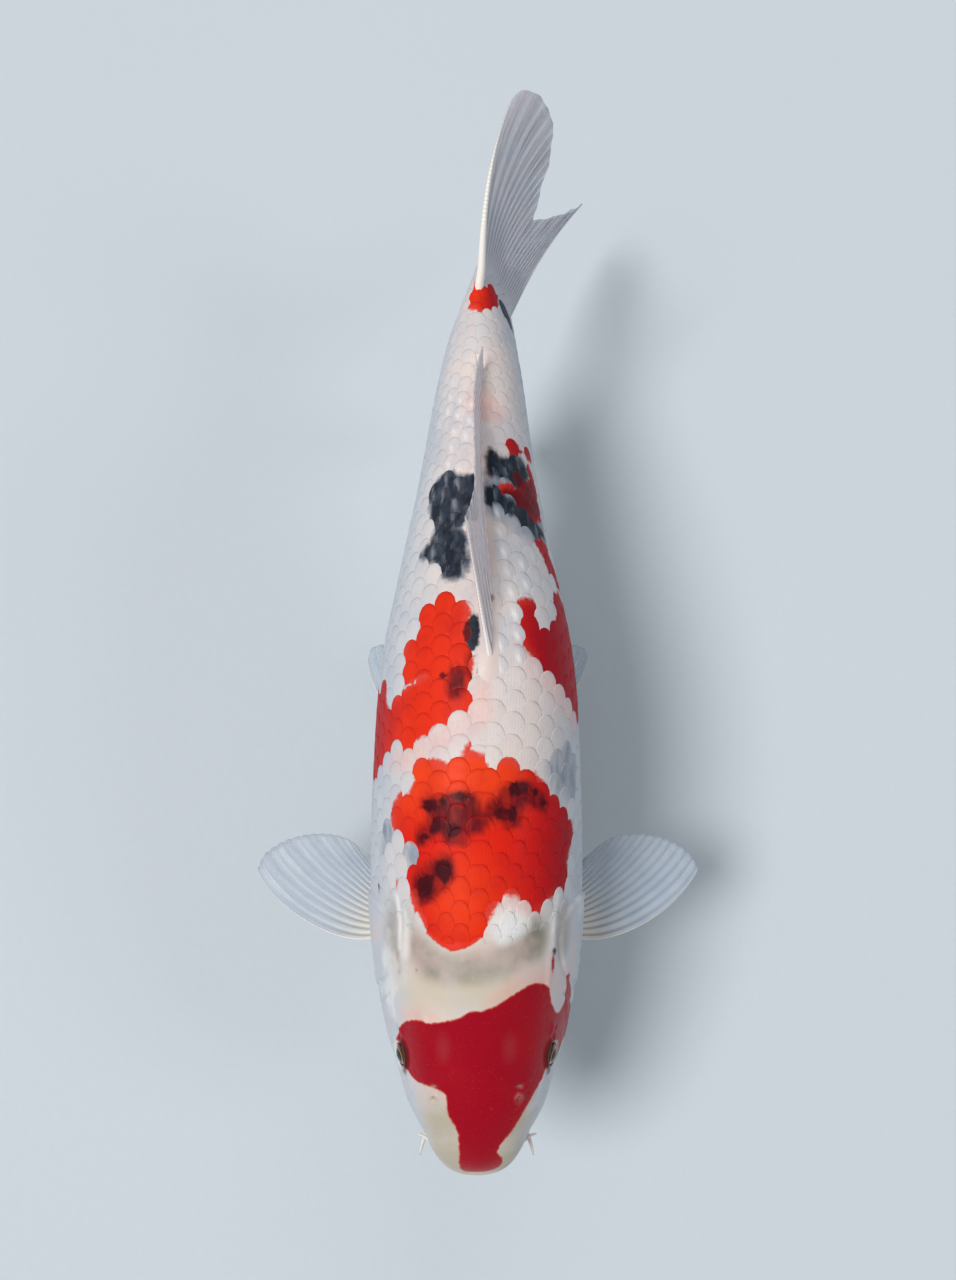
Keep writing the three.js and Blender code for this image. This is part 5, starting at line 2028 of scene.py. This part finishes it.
class KoiBodySettings(PropertyGroup):
    back_white: paint("White of the back", "Pearly white on the back", (0.75, 0.62, 0.575))
    # Painted shade: the bluish white that the flanks take where less light falls.
    flank_white: paint("White of the flanks", "Bluish white on the sides", (0.5, 0.54, 0.6))
    belly_white: paint("White of the belly", "White underneath", (0.74, 0.71, 0.66))
    nape: paint("Nape", "Olive grey behind the head", (0.23, 0.218, 0.172))
    grey_cloud: paint("Grey cloud", "Faint grey over the white", (0.46, 0.49, 0.56))
    blush: paint("Blush", "Faint pink veins in the white", (0.7, 0.52, 0.5))
    # Pearl is the scales' own brightest white, and also the colour of the painted highlights on the
    # gill covers and behind the head.
    pearl: paint("Pearl", "The brightest scales", (0.84, 0.84, 0.82))
    slate_haze: paint("Slate haze", "Black deep under white scales", (0.16, 0.21, 0.28))
    scale_edge: paint("Scale edge", "The rim of a white scale", (0.46, 0.46, 0.5))
    # Painted shade in the eye's socket, above the eye and in the brow's fold.
    socket: paint("Eye socket", "Dark skin round the eye", (0.05, 0.012, 0.008))
    # Partly the tail's own grey skin, partly painted shade.
    tail_end: paint("Tail end", "Skin where the tail fin begins", (0.45, 0.46, 0.52))
    fringe: paint("Fringe", "Red that shows through white scales", (0.9, 0.32, 0.25))
    fringe_strength: fraction("Fringe strength", "How strongly this red shows", 0.4)
    red: paint("Red", "Red of the patches", (0.72, 0.012, 0.006))
    orange: paint("Orange", "Red of the saddle's hind part", (0.88, 0.055, 0.01))
    # Crimson is the head's own red, and also the painted shade that darkens the red down the
    # flanks.
    crimson: paint("Crimson", "Deep red of the head and the flanks", (0.34, 0.0008, 0.012))
    deep_red: paint("Deep red", "Darker clouds and rims in the red", (0.4, 0.006, 0.01))
    thin_red: paint("Thin red", "Red at the edge of a patch", (0.72, 0.06, 0.04))
    sumi: paint("Black", "Black of the patches", (0.006, 0.01, 0.02))
    slate: paint("Slate", "Lighter grains in the black", (0.035, 0.05, 0.075))
    shade: paint("Shade", "Black that lies deep under the red", (0.12, 0.004, 0.008))
    sumi_on_red: paint("Black on red", "Black that lies over the red", (0.04, 0.002, 0.006))
    red_rim: paint("Red's rim", "Brown edge of the red on the head", (0.55, 0.07, 0.04))
    cream: paint("Cream", "Warm white behind the head", (0.6, 0.53, 0.41))
    rust: paint("Rust", "Brown streak over one gill cover", (0.42, 0.26, 0.16))
    # Glint is a painted highlight: bright dashes on the scales beside the dorsal fin.
    glint: paint("Glint", "Silvery scales beside the dorsal fin", (0.92, 0.92, 0.92))
    # Groove is painted shade at the bottom of the skin's folds.
    groove: paint("Groove", "The bottom of folds of the skin", (0.45, 0.3, 0.28))


class KoiScaleSettings(PropertyGroup):
    relief: FloatProperty(
        name="Relief", description="How far a scale's hind edge stands out",
        default=0.0005, min=0.0001, max=0.002, unit="LENGTH", precision=5,
    )


class KoiFinSettings(PropertyGroup):
    paired_root: paint("Paired fin roots", "Milky skin at their roots", (0.86, 0.78, 0.64))
    paired_skin: paint("Paired fins", "Skin of the paired and anal fins", (0.52, 0.6, 0.7))
    paired_ray: paint("Paired fin rays", "Ray tips of the same fins", (0.94, 0.95, 0.95))
    dorsal_root: paint("Dorsal root", "Skin at the dorsal fin's root", (0.93, 0.86, 0.87))
    dorsal_skin: paint("Dorsal fin", "Skin of the dorsal fin", (0.7, 0.64, 0.68))
    dorsal_ray: paint("Dorsal rays", "Ray tips of the dorsal fin", (0.93, 0.87, 0.88))
    tail_root: paint("Tail root", "Skin at the tail fin's root", (0.5, 0.5, 0.56))
    tail_skin: paint("Tail fin", "Skin of the tail fin", (0.62, 0.58, 0.64))
    tail_ray: paint("Tail rays", "Ray tips of the tail fin", (0.3, 0.31, 0.38))
    tint: paint("Fin tint", "Cloudy tint of the clear skin", (0.42, 0.5, 0.62))
    # Fin line also colours the painted shade midway between the rays.
    line: paint("Fin line", "Fine dark lines on the rays", (0.2, 0.22, 0.28))
    ray_root: paint("Ray root", "Bony ray near the body", (0.93, 0.89, 0.82))
    cover: fraction("Cover", "How much the clear skin hides", 0.42)
    ray_radius: FloatProperty(
        name="Ray radius", description="Radius of a plain ray at its root",
        default=0.00052, min=0.0001, max=0.003, unit="LENGTH", precision=5,
    )


class KoiEyeSettings(PropertyGroup):
    pupil: paint("Pupil", "Black of the pupil", (0.003, 0.003, 0.005))
    ring: paint("Ring", "Bright ring round the pupil", (0.45, 0.26, 0.1))
    iris: paint("Iris", "Lighter fibres of the iris", (0.15, 0.055, 0.022))
    iris_dark: paint("Dark iris", "Darker fibres of the iris", (0.05, 0.018, 0.01))
    white: paint("Rim", "Where the eyeball meets its lid", (0.03, 0.01, 0.008))


class KoiStandSettings(PropertyGroup):
    wood_dark: paint("Dark wood", "Dark rings of the walnut", (0.075, 0.036, 0.018))
    wood_light: paint("Light wood", "Light rings of the walnut", (0.2, 0.11, 0.06))
    wood_pore: paint("Wood pores", "Open pores of the walnut", (0.035, 0.018, 0.01))
    steel: paint("Steel", "Brushed steel of the rods", (0.62, 0.62, 0.61))
    steel_mark: paint("Steel marks", "Brush marks on the rods", (0.42, 0.42, 0.43))


class KoiStageSettings(PropertyGroup):
    floor: paint("Floor", "Colour of the floor", (0.56, 0.61, 0.66))
    floor_cloud: paint("Floor cloud", "Second colour of the floor", (0.5, 0.55, 0.6))
    sky: paint("Sky", "Even light from all round", (0.92, 0.96, 1.0))
    sky_strength: FloatProperty(
        name="Sky strength", description="Strength of the even light", default=0.32, min=0, max=3,
    )
    lamp_strength: FloatProperty(
        name="Lamp strength", description="Strength of all the lamps", default=1.0, min=0, max=10,
    )
    ground: paint("Ground", "Colour seen beyond the floor", (0.58, 0.636, 0.688))


class KoiSettings(PropertyGroup):
    body: PointerProperty(type=KoiBodySettings)
    scales: PointerProperty(type=KoiScaleSettings)
    fins: PointerProperty(type=KoiFinSettings)
    eyes: PointerProperty(type=KoiEyeSettings)
    stand: PointerProperty(type=KoiStandSettings)
    stage: PointerProperty(type=KoiStageSettings)


# ---- operators


class KOI_OT_skin(Operator):
    """Builds the skin of head, body and barbels as one piece"""

    bl_idname = "koi.skin"
    bl_label = "Build Skin"

    def execute(self, context):
        material = skin_material(context.scene.koi.body)
        finish_piece(build_skin(), material, FLESH_NODES)
        return {"FINISHED"}


class KOI_OT_scales(Operator):
    """Lays the scales over the skin"""

    bl_idname = "koi.scales"
    bl_label = "Build Scales"

    def execute(self, context):
        settings = context.scene.koi
        material = scale_material(settings.body)
        for piece in build_scales(settings.scales, material):
            finish_piece(piece, material)
        return {"FINISHED"}


class KOI_OT_eyes(Operator):
    """Sets the two eyes into their lids"""

    bl_idname = "koi.eyes"
    bl_label = "Build Eyes"

    def execute(self, context):
        material = eye_material(context.scene.koi.eyes)
        for name, side in SIDES.items():
            finish_piece(build_eye(f"eyeball_{name}", side), material, [f"eye_{name}"])
        return {"FINISHED"}


class KOI_OT_fins(Operator):
    """Builds every fin from its skin and its bony rays"""

    bl_idname = "koi.fins"
    bl_label = "Build Fins"

    def execute(self, context):
        fins = context.scene.koi.fins
        materials = {
            kind: (membrane_material(kind, fins), ray_material(kind, fins))
            for kind in ("paired", "dorsal", "tail")
        }
        tree = ray_tree()
        for name, (fin, side, node, kind) in FINS.items():
            skin, bone = materials[kind]
            finish_piece(membrane(f"fin_{name}", fin, side), skin, [node])
            finish_piece(fin_rays(f"rays_{name}", fin, side, tree, fins, bone), bone)
        return {"FINISHED"}


class KOI_OT_stand(Operator):
    """Finishes the wooden base and the steel rods that hold the fish"""

    bl_idname = "koi.stand"
    bl_label = "Finish Stand"

    def execute(self, context):
        settings = context.scene.koi.stand
        wood = wood_material(settings)
        steel = steel_material(settings)
        finishes = {"stand_base": wood, "stand_rod_front": steel, "stand_rod_rear": steel}
        for node, material in finishes.items():
            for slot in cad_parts[node].material_slots:
                slot.material = material
        return {"FINISHED"}


class KOI_OT_stage(Operator):
    """Sets the floor, the lamps, the even light and the camera"""

    bl_idname = "koi.stage"
    bl_label = "Set Stage"

    def execute(self, context):
        settings = context.scene.koi.stage
        build_floor(settings)
        build_lamps(settings)
        build_world(settings)
        build_camera()
        context.scene.view_settings.view_transform = "Standard"
        return {"FINISHED"}


OPERATORS = [KOI_OT_skin, KOI_OT_scales, KOI_OT_eyes, KOI_OT_fins, KOI_OT_stand, KOI_OT_stage]


class KOI_PT_model(Panel):
    """Every step of the model and the sizes and colours it is made with"""

    bl_idname = "KOI_PT_model"
    bl_label = "Koi Carp"
    bl_space_type = "VIEW_3D"
    bl_region_type = "UI"
    bl_category = "Koi"

    def draw(self, context):
        settings = context.scene.koi
        for operator in OPERATORS:
            self.layout.operator(operator.bl_idname)
        for group in KoiSettings.__annotations__:
            box = self.layout.box()
            box.label(text=group.capitalize())
            chosen = getattr(settings, group)
            for name in chosen.__annotations__:
                box.prop(chosen, name)


CLASSES = [
    KoiBodySettings, KoiScaleSettings, KoiFinSettings, KoiEyeSettings, KoiStandSettings,
    KoiStageSettings, KoiSettings, *OPERATORS, KOI_PT_model,
]


def register():
    for kind in CLASSES:
        bpy.utils.register_class(kind)
    bpy.types.Scene.koi = PointerProperty(type=KoiSettings)


def unregister():
    del bpy.types.Scene.koi
    for kind in reversed(CLASSES):
        bpy.utils.unregister_class(kind)


def main():
    register()
    bpy.ops.koi.skin()
    bpy.ops.koi.scales()
    bpy.ops.koi.eyes()
    bpy.ops.koi.fins()
    bpy.ops.koi.stand()
    bpy.ops.koi.stage()


if __name__ == "__main__":
    main()
